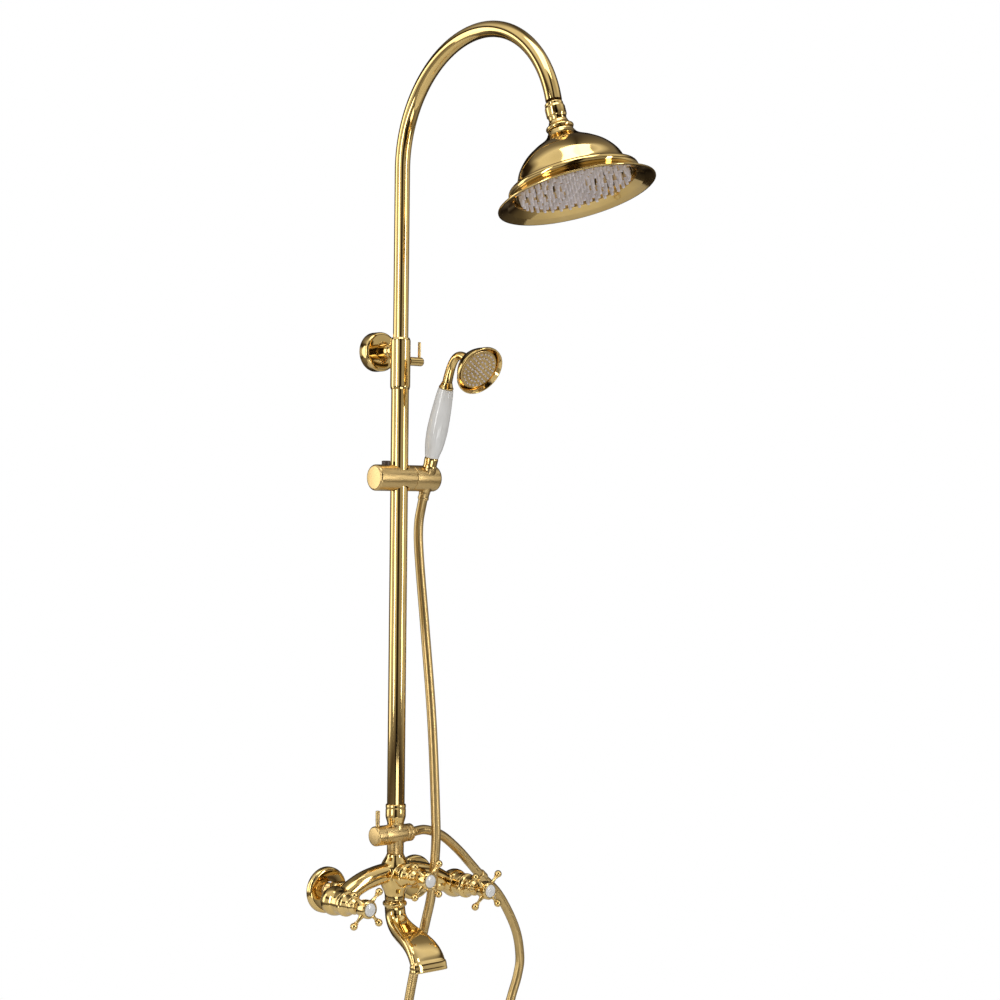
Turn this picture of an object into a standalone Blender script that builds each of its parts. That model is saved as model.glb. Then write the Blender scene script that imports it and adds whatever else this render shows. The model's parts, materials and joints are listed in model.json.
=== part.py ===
"""Rainfall shower column: wall mixer, telescopic riser, rain head, slider and telephone hand shower.

Metres, +Z up, X along the wall, +Y into the wall.  The wall is the plane y = 0 and the origin lies on it,
midway between the two water inlets.
"""

import math

import bmesh
import bpy
from mathutils import Matrix, Quaternion, Vector

# ---------------------------------------------------------------- driving dimensions
GAP = 0.0003                 # clearance between pieces that touch
RISER_Y = -0.057             # riser axis, measured from the wall
INLET_X = 0.075              # half of the 150 mm inlet spacing
VALVE_X = 0.102              # side valve axes
VALVE_Z = -0.0025
DIVERT_Z = 0.022             # centre valve axis

VALVE_Y = -0.060             # centre of the valve balls
BALL_R = 0.0195
ARM_R = 0.0135               # arched arms of the mixer body
BARREL_R = 0.0155
BARREL_LEN = 0.022           # valve axis origin to the barrel's front face
CROSS_R = 0.0285             # centre of a ball tip from the handle's axis

FLANGE_R = 0.031
FLANGE_DEPTH = 0.009
NUT_R = 0.0155               # union nuts, across corners

STEM_R = 0.0115
TEE_Z = 0.075
TEE_R = 0.0134
TEE_LEFT = -0.0224           # joint between the tee body and its knob
TEE_RIGHT = 0.013
KNOB_LEFT = -0.037

LOWER_R = 0.012              # lower riser tube, outside
LOWER_BORE = 0.011
UPPER_R = 0.0104             # telescopic upper tube, outside
UPPER_BORE = 0.0092
SLEEVE_LOW = 0.677
SLEEVE_TOP = 0.747
SLEEVE_R = 0.0136
BRACKET_Z = 0.730
BRACKET_R = 0.027
BRACKET_DEPTH = 0.017
LOCK_Z = 0.716
UPPER_LOW = 0.575            # lower end of the upper tube, inside the lower tube

ARC_BASE = 0.974             # where the gooseneck leaves the vertical
ARC_REAR_R = 0.1615
ARC_FRONT_R = 0.1464
ARC_FRONT_SWEEP = math.radians(76.0)
HEAD_R = 0.100

SLIDER_Z = 0.557
SLIDER_R = 0.01775
SLIDER_LEFT = -0.043
SLIDER_SEAM = 0.019
HOLDER_RIGHT = 0.063
BUTTON_X = -0.0225

HANDSET_X = 0.044
HANDSET_Y = -0.063           # handset axis at the slider's height
HANDSET_TILT = math.radians(17.5)
FACE_R = 0.035
FACE_DIP = math.radians(32.0)                # the spray face's normal below the horizontal
FACE_CENTRE = (HANDSET_X, -0.173, 0.699)

SPOUT_JOINT = -0.0145        # top of the spout's collar
SPOUT_CURVE = ((0.0, -0.022), (0.0, -0.070), (0.067, -0.046), (0.0755, -0.0975))   # reach and height, Bezier
SPOUT_NECK_R = 0.0138
SPOUT_LIP = (0.0272, 0.0078)                 # half width and half depth at the lip
SPOUT_WALL = 0.0022
SPOUT_SIDES = 16
HOSE_R = 0.0065

# Route of the hose's axis, from the handset's cone to the tee: down beside the riser, past the front of
# the mixer, round a loop that hangs below it, up past the cold valve and over to the tee's outlet.
HOSE_ROUTE = [
    (0.0440, -0.0571, 0.5384), (0.0440, -0.0540, 0.5284), (0.0440, -0.0503, 0.5167), (0.0435, -0.0462, 0.4980),
    (0.0440, -0.0448, 0.4730), (0.0455, -0.0475, 0.4320), (0.0468, -0.0580, 0.3500), (0.0476, -0.0740, 0.2260),
    (0.0480, -0.0835, 0.1010), (0.0478, -0.0845, 0.0530), (0.0450, -0.0800, -0.0080), (0.0415, -0.0720, -0.0480),
    (0.0290, -0.0610, -0.1260), (0.0210, -0.0570, -0.1900), (0.0240, -0.0560, -0.2500), (0.0430, -0.0560, -0.3050),
    (0.0800, -0.0560, -0.3390), (0.1220, -0.0560, -0.3400), (0.1600, -0.0560, -0.3090), (0.1880, -0.0570, -0.2500),
    (0.2100, -0.0570, -0.1830), (0.2230, -0.0570, -0.1490), (0.2270, -0.0570, -0.1210), (0.2170, -0.0570, -0.0800),
    (0.1865, -0.0570, -0.0304), (0.1530, -0.0570, 0.0004), (0.1323, -0.0570, 0.0209), (0.1093, -0.0570, 0.0430),
    (0.0804, -0.0570, 0.0650), (0.0520, -0.0570, 0.0755), (0.0284, -0.0570, 0.0750),
]
HOSE_STEP = 0.026            # spacing of the tube's rings
OPERAND_ROLL = 0.13          # turned operands are rolled so that no edge lies on an edge of the body

PARTS = "shower_column"
CUTTERS = "cutters"


# ---------------------------------------------------------------- scene, materials, helpers
def clear_scene():
    """Remove every object that the file starts with, and make the two collections."""
    for obj in list(bpy.data.objects):
        bpy.data.objects.remove(obj, do_unlink=True)
    for name in (PARTS, CUTTERS):
        coll = bpy.data.collections.get(name) or bpy.data.collections.new(name)
        if coll.name not in bpy.context.scene.collection.children:
            bpy.context.scene.collection.children.link(coll)


def material(name, colour, roughness, metallic):
    """A Principled material."""
    mat = bpy.data.materials.get(name) or bpy.data.materials.new(name)
    mat.use_nodes = True
    shader = mat.node_tree.nodes["Principled BSDF"]
    shader.inputs["Base Color"].default_value = (*colour, 1.0)
    shader.inputs["Roughness"].default_value = roughness
    shader.inputs["Metallic"].default_value = metallic
    return mat


FINISH = {
    "polished": ((0.83, 0.60, 0.24), 0.08, 1.0),
    "satin": ((0.72, 0.53, 0.25), 0.30, 1.0),
    "hose": ((0.66, 0.50, 0.26), 0.35, 1.0),
    "porcelain": ((0.86, 0.86, 0.85), 0.12, 0.0),
    "nylon": ((0.90, 0.89, 0.84), 0.45, 0.0),
    "silicone": ((0.62, 0.58, 0.62), 0.55, 0.0),
    "rubber": ((0.03, 0.03, 0.03), 0.60, 0.0),
    "dark": ((0.05, 0.035, 0.03), 0.40, 0.0),
    "ceramic": ((0.75, 0.75, 0.72), 0.30, 0.0),
}


def file_under(obj, collection):
    """Move an object to one of the two collections."""
    for coll in list(obj.users_collection):
        coll.objects.unlink(obj)
    bpy.data.collections[collection].objects.link(obj)


def finish(obj, look):
    """Name the material after the node, give it the look, and shade the round faces smooth."""
    colour, roughness, metallic = FINISH[look]
    obj.data.materials.clear()
    obj.data.materials.append(material(obj.name + "_" + look, colour, roughness, metallic))
    file_under(obj, PARTS)
    return obj


def hide_cutter(obj):
    """File an object as a cutter: drawn as wire, and not part of the model."""
    file_under(obj, CUTTERS)
    obj.hide_render = True
    obj.display_type = "WIRE"
    return obj


def place(obj, origin=(0, 0, 0), axis=(0, 0, 1)):
    """Set the object's origin, and turn its local Z to the axis."""
    obj.location = origin
    obj.rotation_mode = "QUATERNION"
    obj.rotation_quaternion = Vector((0, 0, 1)).rotation_difference(Vector(axis).normalized())
    return obj


def turned(name, profile, segments=24, closed=False):
    """A turned shape: (radius, height) down the outer side, closed into a ring or ending on the axis."""
    mesh = bpy.data.meshes.new(name)
    count = len(profile)
    edges = [(i, i + 1) for i in range(count - 1)]
    if closed:
        edges.append((count - 1, 0))
    mesh.from_pydata([(r, 0.0, z) for r, z in profile], edges, [])
    obj = bpy.data.objects.new(name, mesh)
    bpy.data.collections[PARTS].objects.link(obj)
    screw = obj.modifiers.new("turn", "SCREW")
    screw.axis = "Z"
    screw.steps = segments
    screw.render_steps = segments
    screw.use_merge_vertices = True
    screw.merge_threshold = 0.00001
    screw.use_smooth_shade = True
    return obj


def ring(name, outer, inner, low, high, segments=24, chamfer=0.0):
    """A plain bush, sleeve or washer along local Z."""
    top = [(outer, high)]
    bottom = [(outer, low)]
    if chamfer:
        top = [(outer - chamfer, high), (outer, high - chamfer)]
        bottom = [(outer, low + chamfer), (outer - chamfer, low)]
    return turned(name, top + bottom + [(inner, low), (inner, high)], segments, closed=True)


def rod(name, radius, low, high, segments=16, chamfer=0.0):
    """A plain solid cylinder along local Z."""
    mid = [(radius, high), (radius, low)]
    if chamfer:
        mid = [(radius - chamfer, high), (radius, high - chamfer), (radius, low + chamfer), (radius - chamfer, low)]
    return turned(name, [(0.0, high)] + mid + [(0.0, low)], segments)


def ball(name, radius, centre, segments=20, rings=12):
    """A sphere as an object of its own."""
    mesh = bpy.data.meshes.new(name)
    bm = bmesh.new()
    bmesh.ops.create_uvsphere(bm, u_segments=segments, v_segments=rings, radius=radius)
    bm.to_mesh(mesh)
    bm.free()
    obj = bpy.data.objects.new(name, mesh)
    bpy.data.collections[PARTS].objects.link(obj)
    obj.location = centre
    return obj


def smooth_route(points, step):
    """Points at an even spacing along a Catmull-Rom curve through the given ones."""
    pts = [Vector(p) for p in points]
    ends = [pts[0] * 2 - pts[1]] + pts + [pts[-1] * 2 - pts[-2]]
    fine = []
    for i in range(1, len(ends) - 2):
        a, b, c, d = ends[i - 1:i + 3]
        for k in range(24):
            t = k / 24
            fine.append(0.5 * (2 * b + (c - a) * t + (2 * a - 5 * b + 4 * c - d) * t ** 2
                               + (3 * b - a - 3 * c + d) * t ** 3))
    fine.append(pts[-1])
    lengths = [0.0]
    for p, q in zip(fine, fine[1:]):
        lengths.append(lengths[-1] + (q - p).length)
    count = max(2, round(lengths[-1] / step))
    out = []
    j = 0
    for n in range(count + 1):
        want = lengths[-1] * n / count
        while j < len(fine) - 2 and lengths[j + 1] < want:
            j += 1
        span = lengths[j + 1] - lengths[j]
        out.append(fine[j].lerp(fine[j + 1], (want - lengths[j]) / span))
    return out


def tube(name, points, radius, resolution=3, tapers=None):
    """A round tube along the points, as a welded mesh; tapers scales the radius at each point."""
    curve = bpy.data.curves.new(name + "_path", "CURVE")
    curve.dimensions = "3D"
    curve.bevel_depth = radius
    curve.bevel_resolution = resolution
    curve.use_fill_caps = True
    spline = curve.splines.new("POLY")
    spline.points.add(len(points) - 1)
    for i, p in enumerate(points):
        spline.points[i].co = (*p, 1.0)
        spline.points[i].radius = tapers[i] if tapers else 1.0
    guide = bpy.data.objects.new(name + "_path", curve)
    bpy.data.collections[CUTTERS].objects.link(guide)
    bpy.context.view_layer.update()
    evaluated = guide.evaluated_get(bpy.context.evaluated_depsgraph_get())
    mesh = bpy.data.meshes.new_from_object(evaluated)
    bm = bmesh.new()
    bm.from_mesh(mesh)
    bmesh.ops.remove_doubles(bm, verts=bm.verts, dist=0.00001)
    bmesh.ops.recalc_face_normals(bm, faces=bm.faces)
    bm.to_mesh(mesh)
    bm.free()
    obj = bpy.data.objects.new(name, mesh)
    obj.matrix_world = guide.matrix_world
    bpy.data.objects.remove(guide, do_unlink=True)
    bpy.data.collections[PARTS].objects.link(obj)
    return obj


def boolean(obj, operand, operation):
    """Add one exact Boolean to the object's stack, and file the operand as a cutter."""
    if "turn" in operand.modifiers:
        operand.rotation_mode = "QUATERNION"
        roll = OPERAND_ROLL * (1 + len(obj.modifiers))
        operand.rotation_quaternion = operand.rotation_quaternion @ Quaternion((0, 0, 1), roll)
    mod = obj.modifiers.new(operand.name, "BOOLEAN")
    mod.operation = operation
    mod.solver = "EXACT"
    mod.object = hide_cutter(operand)
    return obj


def join(obj, *operands):
    """Union the operands into the object."""
    for operand in operands:
        boolean(obj, operand, "UNION")
    return obj


def cut(obj, *operands):
    """Take the operands away from the object."""
    for operand in operands:
        boolean(obj, operand, "DIFFERENCE")
    return obj


def hex_nut(name, corner, bore, origin, axis):
    """A chamfered hexagon nut on the axis; bore is the profile of the cutter that opens it."""
    low, high = min(z for _, z in bore) + 0.002, max(z for _, z in bore) - 0.002
    nut = turned(name, [(0.0, high), (corner, high), (corner, low), (0.0, low)], 6)
    chamfer = turned(name + "_chamfer", [
        (0.0, high + 0.001), (corner * 0.9, high + 0.001), (corner * 0.9, high), (corner * 1.01, high - 0.0014),
        (corner * 1.01, low + 0.0014), (corner * 0.9, low), (corner * 0.9, low - 0.001), (0.0, low - 0.001)], 20)
    boolean(nut, place(chamfer, origin, axis), "INTERSECT")
    cut(nut, place(turned(name + "_bore", bore, 16), origin, axis))
    return place(nut, origin, axis)


def arc(centre, radius, start, stop, steps):
    """Profile points on a circle, angles in degrees from the local X axis."""
    turn = [math.radians(start + (stop - start) * i / steps) for i in range(steps + 1)]
    return [(centre[0] + radius * math.cos(a), centre[1] + radius * math.sin(a)) for a in turn]


TO_USER = (0, -1, 0)         # local Z of everything that points away from the wall
ALONG_X = (1, 0, 0)


# ---------------------------------------------------------------- mixer
def arm_route():
    """Centreline of the arched body, from one valve ball over the middle post to the other."""
    half = [(VALVE_X - 0.010, VALVE_Z), (0.080, 0.004), (0.066, 0.0115), (0.050, 0.0178), (0.030, 0.0222), (0.012, 0.0240)]
    right = [(x, RISER_Y, z) for x, z in half]
    left = [(-x, y, z) for x, y, z in reversed(right)]
    return smooth_route(right + left, 0.016)


def mixer_body():
    """One casting: middle post, arched arms, valve balls, barrels and inlet bosses, with its water ways."""
    post = turned("mixer_body", [
        (0.0, 0.0490), (STEM_R, 0.0490), (0.0130, 0.0450), (0.0175, 0.0375), (0.0205, 0.0300), (0.0210, 0.0180),
        (0.0190, 0.0060), (0.0150, -0.0030), (0.0138, -0.0080), (0.0138, SPOUT_JOINT + GAP), (0.0, SPOUT_JOINT + GAP)], 18)
    place(post, (0, RISER_Y, 0))
    join(post, tube("body_arms", arm_route(), ARM_R, 2))
    for side, sign in (("left", -1), ("right", 1)):
        join(post, ball("body_ball_" + side, BALL_R, (sign * VALVE_X, VALVE_Y, VALVE_Z), 12, 8))
        barrel = rod("body_barrel_" + side, BARREL_R, 0.006, BARREL_LEN, 16, 0.001)
        join(post, place(barrel, (sign * VALVE_X, VALVE_Y, VALVE_Z), TO_USER))
        boss = turned("body_boss_" + side, arc((0.0, 0.0), 0.0128, 90, 0, 4) + [(0.0128, -0.019), (0.0, -0.019)], 14)
        join(post, place(boss, (sign * INLET_X, RISER_Y, 0), TO_USER))
    join(post, place(rod("body_barrel_middle", BARREL_R - 0.0005, 0.004, BARREL_LEN + 0.001, 16, 0.001),
                     (0, RISER_Y, DIVERT_Z), TO_USER))
    cut(post, tube("body_water_way", arm_route()[1:-1:2], 0.0055, 1))
    for side, sign in (("left", -1), ("right", 1)):
        seat = rod("body_seat_" + side, 0.0093, -0.002, BARREL_LEN + 0.003, 11)
        cut(post, place(seat, (sign * VALVE_X, VALVE_Y, VALVE_Z), TO_USER))
        inlet = rod("body_inlet_" + side, 0.0070, -0.024, 0.001, 10)
        cut(post, place(inlet, (sign * INLET_X, RISER_Y, 0), TO_USER))
    seat = rod("body_seat_middle", 0.0093, -0.002, BARREL_LEN + 0.004, 11)
    cut(post, place(seat, (0, RISER_Y, DIVERT_Z), TO_USER))
    cut(post, place(rod("body_outlet_up", 0.0080, 0.024, 0.054, 12), (0, RISER_Y, 0)))
    cut(post, place(rod("body_outlet_down", 0.0080, -0.024, 0.018, 12), (0, RISER_Y, 0)))
    return finish(post, "polished")


def inlet(side, sign):
    """Escutcheon, threaded union and union nut between the wall and one inlet boss."""
    origin = (sign * INLET_X, 0, 0)
    cup = turned("inlet_flange_" + side, [
        (0.0118, FLANGE_DEPTH)] + arc((FLANGE_R - 0.005, FLANGE_DEPTH - 0.005), 0.005, 80, 0, 3) + [
        (FLANGE_R, 0.0), (FLANGE_R - 0.0018, 0.0)] + arc((FLANGE_R - 0.0055, FLANGE_DEPTH - 0.0055), 0.0037, 0, 80, 1) + [
        (0.0118, FLANGE_DEPTH - 0.0018)], 20, closed=True)
    finish(place(cup, origin, TO_USER), "polished")
    union = turned("inlet_union_" + side, [
        (0.0065, 0.0365), (0.0122, 0.0365), (0.0122, 0.0330), (0.0105, 0.0330), (0.0105, 0.0005), (0.0065, 0.0005)],
        18, closed=True)
    finish(place(union, origin, TO_USER), "satin")
    bore = [(0.0, 0.0415), (0.0134, 0.0415), (0.0134, 0.0327), (0.0109, 0.0327), (0.0109, 0.0225), (0.0, 0.0225)]
    finish(hex_nut("union_nut_" + side, NUT_R + 0.0015, bore, origin, TO_USER), "polished")


def cross_handle(name, origin):
    """Bell-shaped hub with four tapered arms that end in balls, bored for its spindle and index button."""
    hub = turned(name, [
        (0.0, 0.0745), (0.0090, 0.0745), (0.0090, 0.0775), (0.0102, 0.0775), (0.0120, 0.0750), (0.0120, 0.0640),
        (0.0108, 0.0600), (0.0086, 0.0555), (0.0078, 0.0500), (0.0112, 0.0445), (0.0112, 0.0418),
        (0.0040, 0.0418), (0.0040, 0.0660), (0.0, 0.0660)], 13)
    place(hub, origin, TO_USER)
    centre = Vector(origin) + Vector((0, -0.0690, 0))
    for k in range(4):
        turn = math.radians(45 + 90 * k)
        way = Vector((math.cos(turn), 0, math.sin(turn)))
        arm = turned(name + "_arm%d" % k, [
            (0.0, CROSS_R + 0.001), (0.0020, CROSS_R + 0.001), (0.0022, 0.0175), (0.0037, 0.0105),
            (0.0037, 0.0070), (0.0, 0.0070)], 6)
        join(hub, place(arm, centre, way))
        join(hub, ball(name + "_tip%d" % k, 0.0050, centre + way * CROSS_R, 7, 5))
    return finish(hub, "polished")


def valve(kind, origin):
    """Cartridge, bonnet, spindle, cross handle and index button of one valve."""
    cartridge = turned("cartridge_" + kind, [
        (0.0040, 0.0390), (0.0062, 0.0390), (0.0062, 0.0300), (0.0086, 0.0290), (0.0086, 0.0010),
        (0.0050, 0.0010), (0.0050, 0.0180), (0.0040, 0.0190)], 12, closed=True)
    finish(place(cartridge, origin, TO_USER), "ceramic")
    bonnet = turned("bonnet_" + kind, [
        (0.0104, 0.0413), (0.0112, 0.0400), (0.0120, 0.0345), (0.0142, 0.0290), (0.0165, 0.0270), (0.0165, 0.0232),
        (0.0098, 0.0232), (0.0085, 0.0345), (0.0085, 0.0413)], 16, closed=True)
    finish(place(bonnet, origin, TO_USER), "polished")
    spindle = turned("spindle_" + kind, [
        (0.0, 0.0655), (0.0032, 0.0655), (0.0036, 0.0650), (0.0036, 0.0194), (0.0, 0.0194)], 10)
    finish(place(spindle, origin, TO_USER), "satin")
    cross_handle("handle_" + kind, origin)
    index = turned("index_" + kind, [
        (0.0, 0.0790), (0.0060, 0.0785), (0.0086, 0.0768), (0.0087, 0.0749), (0.0, 0.0749)], 16)
    finish(place(index, origin, TO_USER), "porcelain")


# ---------------------------------------------------------------- spout
def spout_section(distance, height, half_width, half_depth, pitch, squareness):
    """One closed ring of the spout: a rounded outline across X, tilted by pitch in the YZ plane."""
    points = []
    for k in range(SPOUT_SIDES):
        a = 2 * math.pi * k / SPOUT_SIDES
        c, s = math.cos(a), math.sin(a)
        u = half_width * math.copysign(abs(c) ** (2 / squareness), c)
        v = half_depth * math.copysign(abs(s) ** (2 / squareness), s)
        points.append(Vector((u, -distance - v * math.cos(pitch), height + v * math.sin(pitch))))
    return points


def spout_path(t):
    """Centreline and pitch of the spout at t from 0, the neck, to 1, the lip."""
    p0, p1, p2, p3 = [Vector(p) for p in SPOUT_CURVE]
    q0, q1, q2 = p0.lerp(p1, t), p1.lerp(p2, t), p2.lerp(p3, t)
    r0, r1 = q0.lerp(q1, t), q1.lerp(q2, t)
    way = (r1 - r0).normalized()
    return r0.lerp(r1, t), math.atan2(way.x, -way.y)


def spout_ring(t, extra):
    """The spout's section at t, grown by extra, from the round neck to the wide flat lip."""
    point, pitch = spout_path(t)
    ease = t * t * (3 - 2 * t)
    wide, deep = [SPOUT_NECK_R + (lip - SPOUT_NECK_R) * ease + extra for lip in SPOUT_LIP]
    return spout_section(point.x, point.y, wide, deep, pitch, 2.0 + 1.8 * ease)


def round_ring(radius, height):
    """A circular section of the spout's collar."""
    return spout_section(0.0, height, radius, radius, 0.0, 2.0)


def shell(name, rings):
    """A hollow solid through the rings, the last one joined back to the first."""
    bm = bmesh.new()
    rows = [[bm.verts.new(p) for p in pts] for pts in rings]
    count = len(rows[0])
    for upper, lower in zip(rows, rows[1:] + rows[:1]):
        for k in range(count):
            n = (k + 1) % count
            bm.faces.new((upper[k], upper[n], lower[n], lower[k]))
    bmesh.ops.recalc_face_normals(bm, faces=bm.faces)
    if bm.calc_volume(signed=True) < 0:
        bmesh.ops.reverse_faces(bm, faces=bm.faces)
    mesh = bpy.data.meshes.new(name)
    bm.to_mesh(mesh)
    bm.free()
    obj = bpy.data.objects.new(name, mesh)
    bpy.data.collections[PARTS].objects.link(obj)
    return obj


def spout():
    """Swivel spout, its tail and seal: a shell from the beaded collar to the moulded lip and back inside."""
    outer = [round_ring(r, SPOUT_JOINT + z) for r, z in (
        (0.0138, 0.0), (0.0150, -0.0016), (0.0165, -0.0030), (0.0165, -0.0054), (0.0150, -0.0068), (0.0138, -0.0082))]
    outer += [spout_ring(t, 0.0) for t in (0.10, 0.22, 0.34, 0.46, 0.58, 0.70, 0.82, 0.92)]
    lip = [spout_ring(t, extra) for t, extra in ((0.93, 0.0012), (0.99, 0.0012), (1.0, 0.0004))]
    inner = [spout_ring(t, -SPOUT_WALL) for t in (1.0, 0.86, 0.70, 0.54, 0.38, 0.24)]
    neck = [round_ring(0.0103, z) for z in (-0.0380, SPOUT_JOINT)]
    body = shell("spout", outer + lip + inner + neck)
    body.location = (0, RISER_Y, 0)
    finish(body, "polished")
    tail = ring("spout_tail", 0.0077, 0.0055, -0.0300, 0.0080, 14)
    finish(place(tail, (0, RISER_Y, 0)), "satin")
    seal = ring("spout_o_ring", 0.0097, 0.0080, -0.0245, -0.0220, 16)
    finish(place(seal, (0, RISER_Y, 0)), "rubber")


# ---------------------------------------------------------------- tee with its diverter, and the riser
def tee():
    """Tee body on the mixer's post: riser spigot above, knob on the left, hose outlet on the right."""
    body = turned("tee_body", [
        (0.0, 0.0970), (0.0100, 0.0970), (0.0100, 0.0880), (STEM_R, 0.0880), (STEM_R, 0.0493), (0.0, 0.0493)], 16)
    place(body, (0, RISER_Y, 0))
    barrel = turned("tee_barrel", [(0.0, TEE_RIGHT), (TEE_R - 0.0015, TEE_RIGHT), (TEE_R, TEE_RIGHT - 0.0015),
                                   (TEE_R, TEE_LEFT), (0.0, TEE_LEFT)], 20)
    join(body, place(barrel, (0, RISER_Y, TEE_Z), ALONG_X))
    spigot = rod("tee_spigot", 0.0080, 0.010, 0.0255, 12)
    join(body, place(spigot, (0, RISER_Y, TEE_Z), ALONG_X))
    cut(body, place(rod("tee_bore", 0.0070, 0.040, 0.105, 10), (0, RISER_Y, 0)))
    cut(body, place(rod("tee_seat", 0.0095, TEE_LEFT - 0.003, -0.0095, 14), (0, RISER_Y, TEE_Z), ALONG_X))
    cut(body, place(rod("tee_outlet", 0.0050, -0.012, 0.030, 8), (0, RISER_Y, TEE_Z), ALONG_X))
    finish(body, "satin")
    cartridge = turned("tee_cartridge", [
        (0.0042, -0.0100), (0.0092, -0.0100), (0.0092, -0.0215), (0.0042, -0.0215)], 14, closed=True)
    finish(place(cartridge, (0, RISER_Y, TEE_Z), ALONG_X), "ceramic")
    knob = turned("tee_knob", [
        (0.0, -0.0105), (0.0038, -0.0105), (0.0038, TEE_LEFT - GAP), (TEE_R, TEE_LEFT - GAP)] + arc(
            (TEE_R - 0.003, KNOB_LEFT + 0.003), 0.003, 0, -90, 3) + [(0.0, KNOB_LEFT)], 20)
    place(knob, (0, RISER_Y, TEE_Z), ALONG_X)
    hole = rod("tee_knob_hole", 0.0033, 0.0080, 0.0180, 10)
    cut(knob, place(hole, (-0.0305, RISER_Y, TEE_Z)))
    finish(knob, "satin")
    pin = turned("tee_pin", [(0.0, 0.0340)] + arc((0.0018, 0.0328), 0.0012, 90, 0, 2) + [
        (0.0030, 0.0083), (0.0, 0.0083)], 10)
    finish(place(pin, (-0.0305, RISER_Y, TEE_Z)), "satin")
    nut = turned("hose_outlet_nut", [
        (0.0068, 0.0282), (0.0090, 0.0282), (0.0120, 0.0250), (0.0120, 0.0140), (0.0112, 0.0133),
        (0.0083, 0.0133), (0.0083, 0.0262), (0.0068, 0.0262)], 18, closed=True)
    finish(place(nut, (0, RISER_Y, TEE_Z), ALONG_X), "satin")


def riser():
    """Coupling nut, lower tube, sleeve with its wall bracket, guide bush and lock screw."""
    coupling = turned("riser_coupling", [
        (0.0123, 0.1155), (0.0132, 0.1155), (0.0138, 0.1148), (0.0138, 0.0990), (0.0128, 0.0950), (0.0116, 0.0910),
        (0.0113, 0.0884), (0.0103, 0.0884), (0.0103, 0.0973), (0.0123, 0.0985)], 18, closed=True)
    finish(place(coupling, (0, RISER_Y, 0)), "polished")
    lower = ring("riser_lower_tube", LOWER_R, LOWER_BORE, 0.0990, 0.7050, 20)
    finish(place(lower, (0, RISER_Y, 0)), "polished")
    sleeve = turned("riser_sleeve", [
        (UPPER_R + GAP, SLEEVE_TOP), (0.0120, SLEEVE_TOP), (SLEEVE_R, SLEEVE_TOP - 0.005),
        (SLEEVE_R, SLEEVE_LOW + 0.004), (0.0126, SLEEVE_LOW), (LOWER_R + GAP, SLEEVE_LOW),
        (LOWER_R + GAP, 0.7053), (UPPER_R + GAP, 0.7053)], 20, closed=True)
    place(sleeve, (0, RISER_Y, 0))
    boss = place(rod("sleeve_boss", 0.0100, -0.0185, -0.0115, 14), (0, RISER_Y, BRACKET_Z), TO_USER)
    join(sleeve, boss)
    cut(sleeve, place(rod("sleeve_screw_hole", 0.0033, 0.0095, 0.0160, 10), (0, RISER_Y, LOCK_Z), ALONG_X))
    finish(sleeve, "polished")
    stem = rod("bracket_stem", 0.0098, 0.0046, -RISER_Y - 0.0188, 16)
    finish(place(stem, (0, 0, BRACKET_Z), TO_USER), "polished")
    cup = turned("bracket_flange", [
        (0.0102, BRACKET_DEPTH)] + arc((BRACKET_R - 0.004, BRACKET_DEPTH - 0.004), 0.004, 90, 0, 3) + [
        (BRACKET_R, 0.0), (BRACKET_R - 0.0018, 0.0)] + arc(
            (BRACKET_R - 0.0045, BRACKET_DEPTH - 0.0045), 0.0027, 0, 90, 1) + [
        (0.0102, BRACKET_DEPTH - 0.0018)], 20, closed=True)
    finish(place(cup, (0, 0, BRACKET_Z), TO_USER), "polished")
    plate = rod("bracket_plate", 0.0235, 0.0003, 0.0043, 20)
    for k, x in enumerate((-0.0160, 0.0160)):
        cut(plate, place(rod("plate_hole%d" % k, 0.0024, -0.002, 0.007, 8), (x, 0, BRACKET_Z), TO_USER))
    finish(place(plate, (0, 0, BRACKET_Z), TO_USER), "satin")
    bush = ring("guide_bush", 0.0107, 0.0080, UPPER_LOW - 0.0123, UPPER_LOW - GAP, 14)
    finish(place(bush, (0, RISER_Y, 0)), "nylon")
    lock = turned("lock_screw", [(0.0, 0.0375)] + arc((0.0035, 0.0350), 0.0025, 90, 0, 3) + [
        (0.0060, 0.0143), (0.0030, 0.0143), (0.0030, 0.0112), (0.0, 0.0112)], 14)
    place(lock, (0, RISER_Y, LOCK_Z), ALONG_X)
    pin = rod("lock_pin", 0.0020, 0.0020, 0.0270, 8)
    join(lock, place(pin, (0.0325, RISER_Y, LOCK_Z)))
    finish(lock, "polished")


# ---------------------------------------------------------------- gooseneck arm and rain head
ARM_AXIS = Vector((0, -math.cos(ARC_FRONT_SWEEP), -math.sin(ARC_FRONT_SWEEP)))   # direction of the arm's end
HEAD_AXIS = Vector((0.085, -0.275, -0.958)).normalized()     # the head hangs a little askew on its ball
ARM_STRAIGHT = 0.009         # straight end of the arm, which takes the stud


def gooseneck_route(low, steps=11):
    """Riser axis from the given height, then the rear and front arcs in the plane x = 0."""
    points = [Vector((0, RISER_Y, low)), Vector((0, RISER_Y, ARC_BASE - 0.02))]
    for i in range(steps + 1):
        a = math.pi / 2 * i / steps
        points.append(Vector((0, RISER_Y - ARC_REAR_R * (1 - math.cos(a)), ARC_BASE + ARC_REAR_R * math.sin(a))))
    front = max(4, steps - 2)
    for i in range(1, front + 1):
        a = ARC_FRONT_SWEEP * i / front
        points.append(Vector((0, RISER_Y - ARC_REAR_R - ARC_FRONT_R * math.sin(a),
                              ARC_BASE + ARC_REAR_R - ARC_FRONT_R * (1 - math.cos(a)))))
    points.insert(-1, points[-1] - ARM_AXIS * ARM_STRAIGHT)
    return points


ARM_END = gooseneck_route(UPPER_LOW)[-1]
BALL_DROP = 0.0125           # arm end to the centre of the swivel ball
BALL_CENTRE = ARM_END + ARM_AXIS * BALL_DROP


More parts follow.
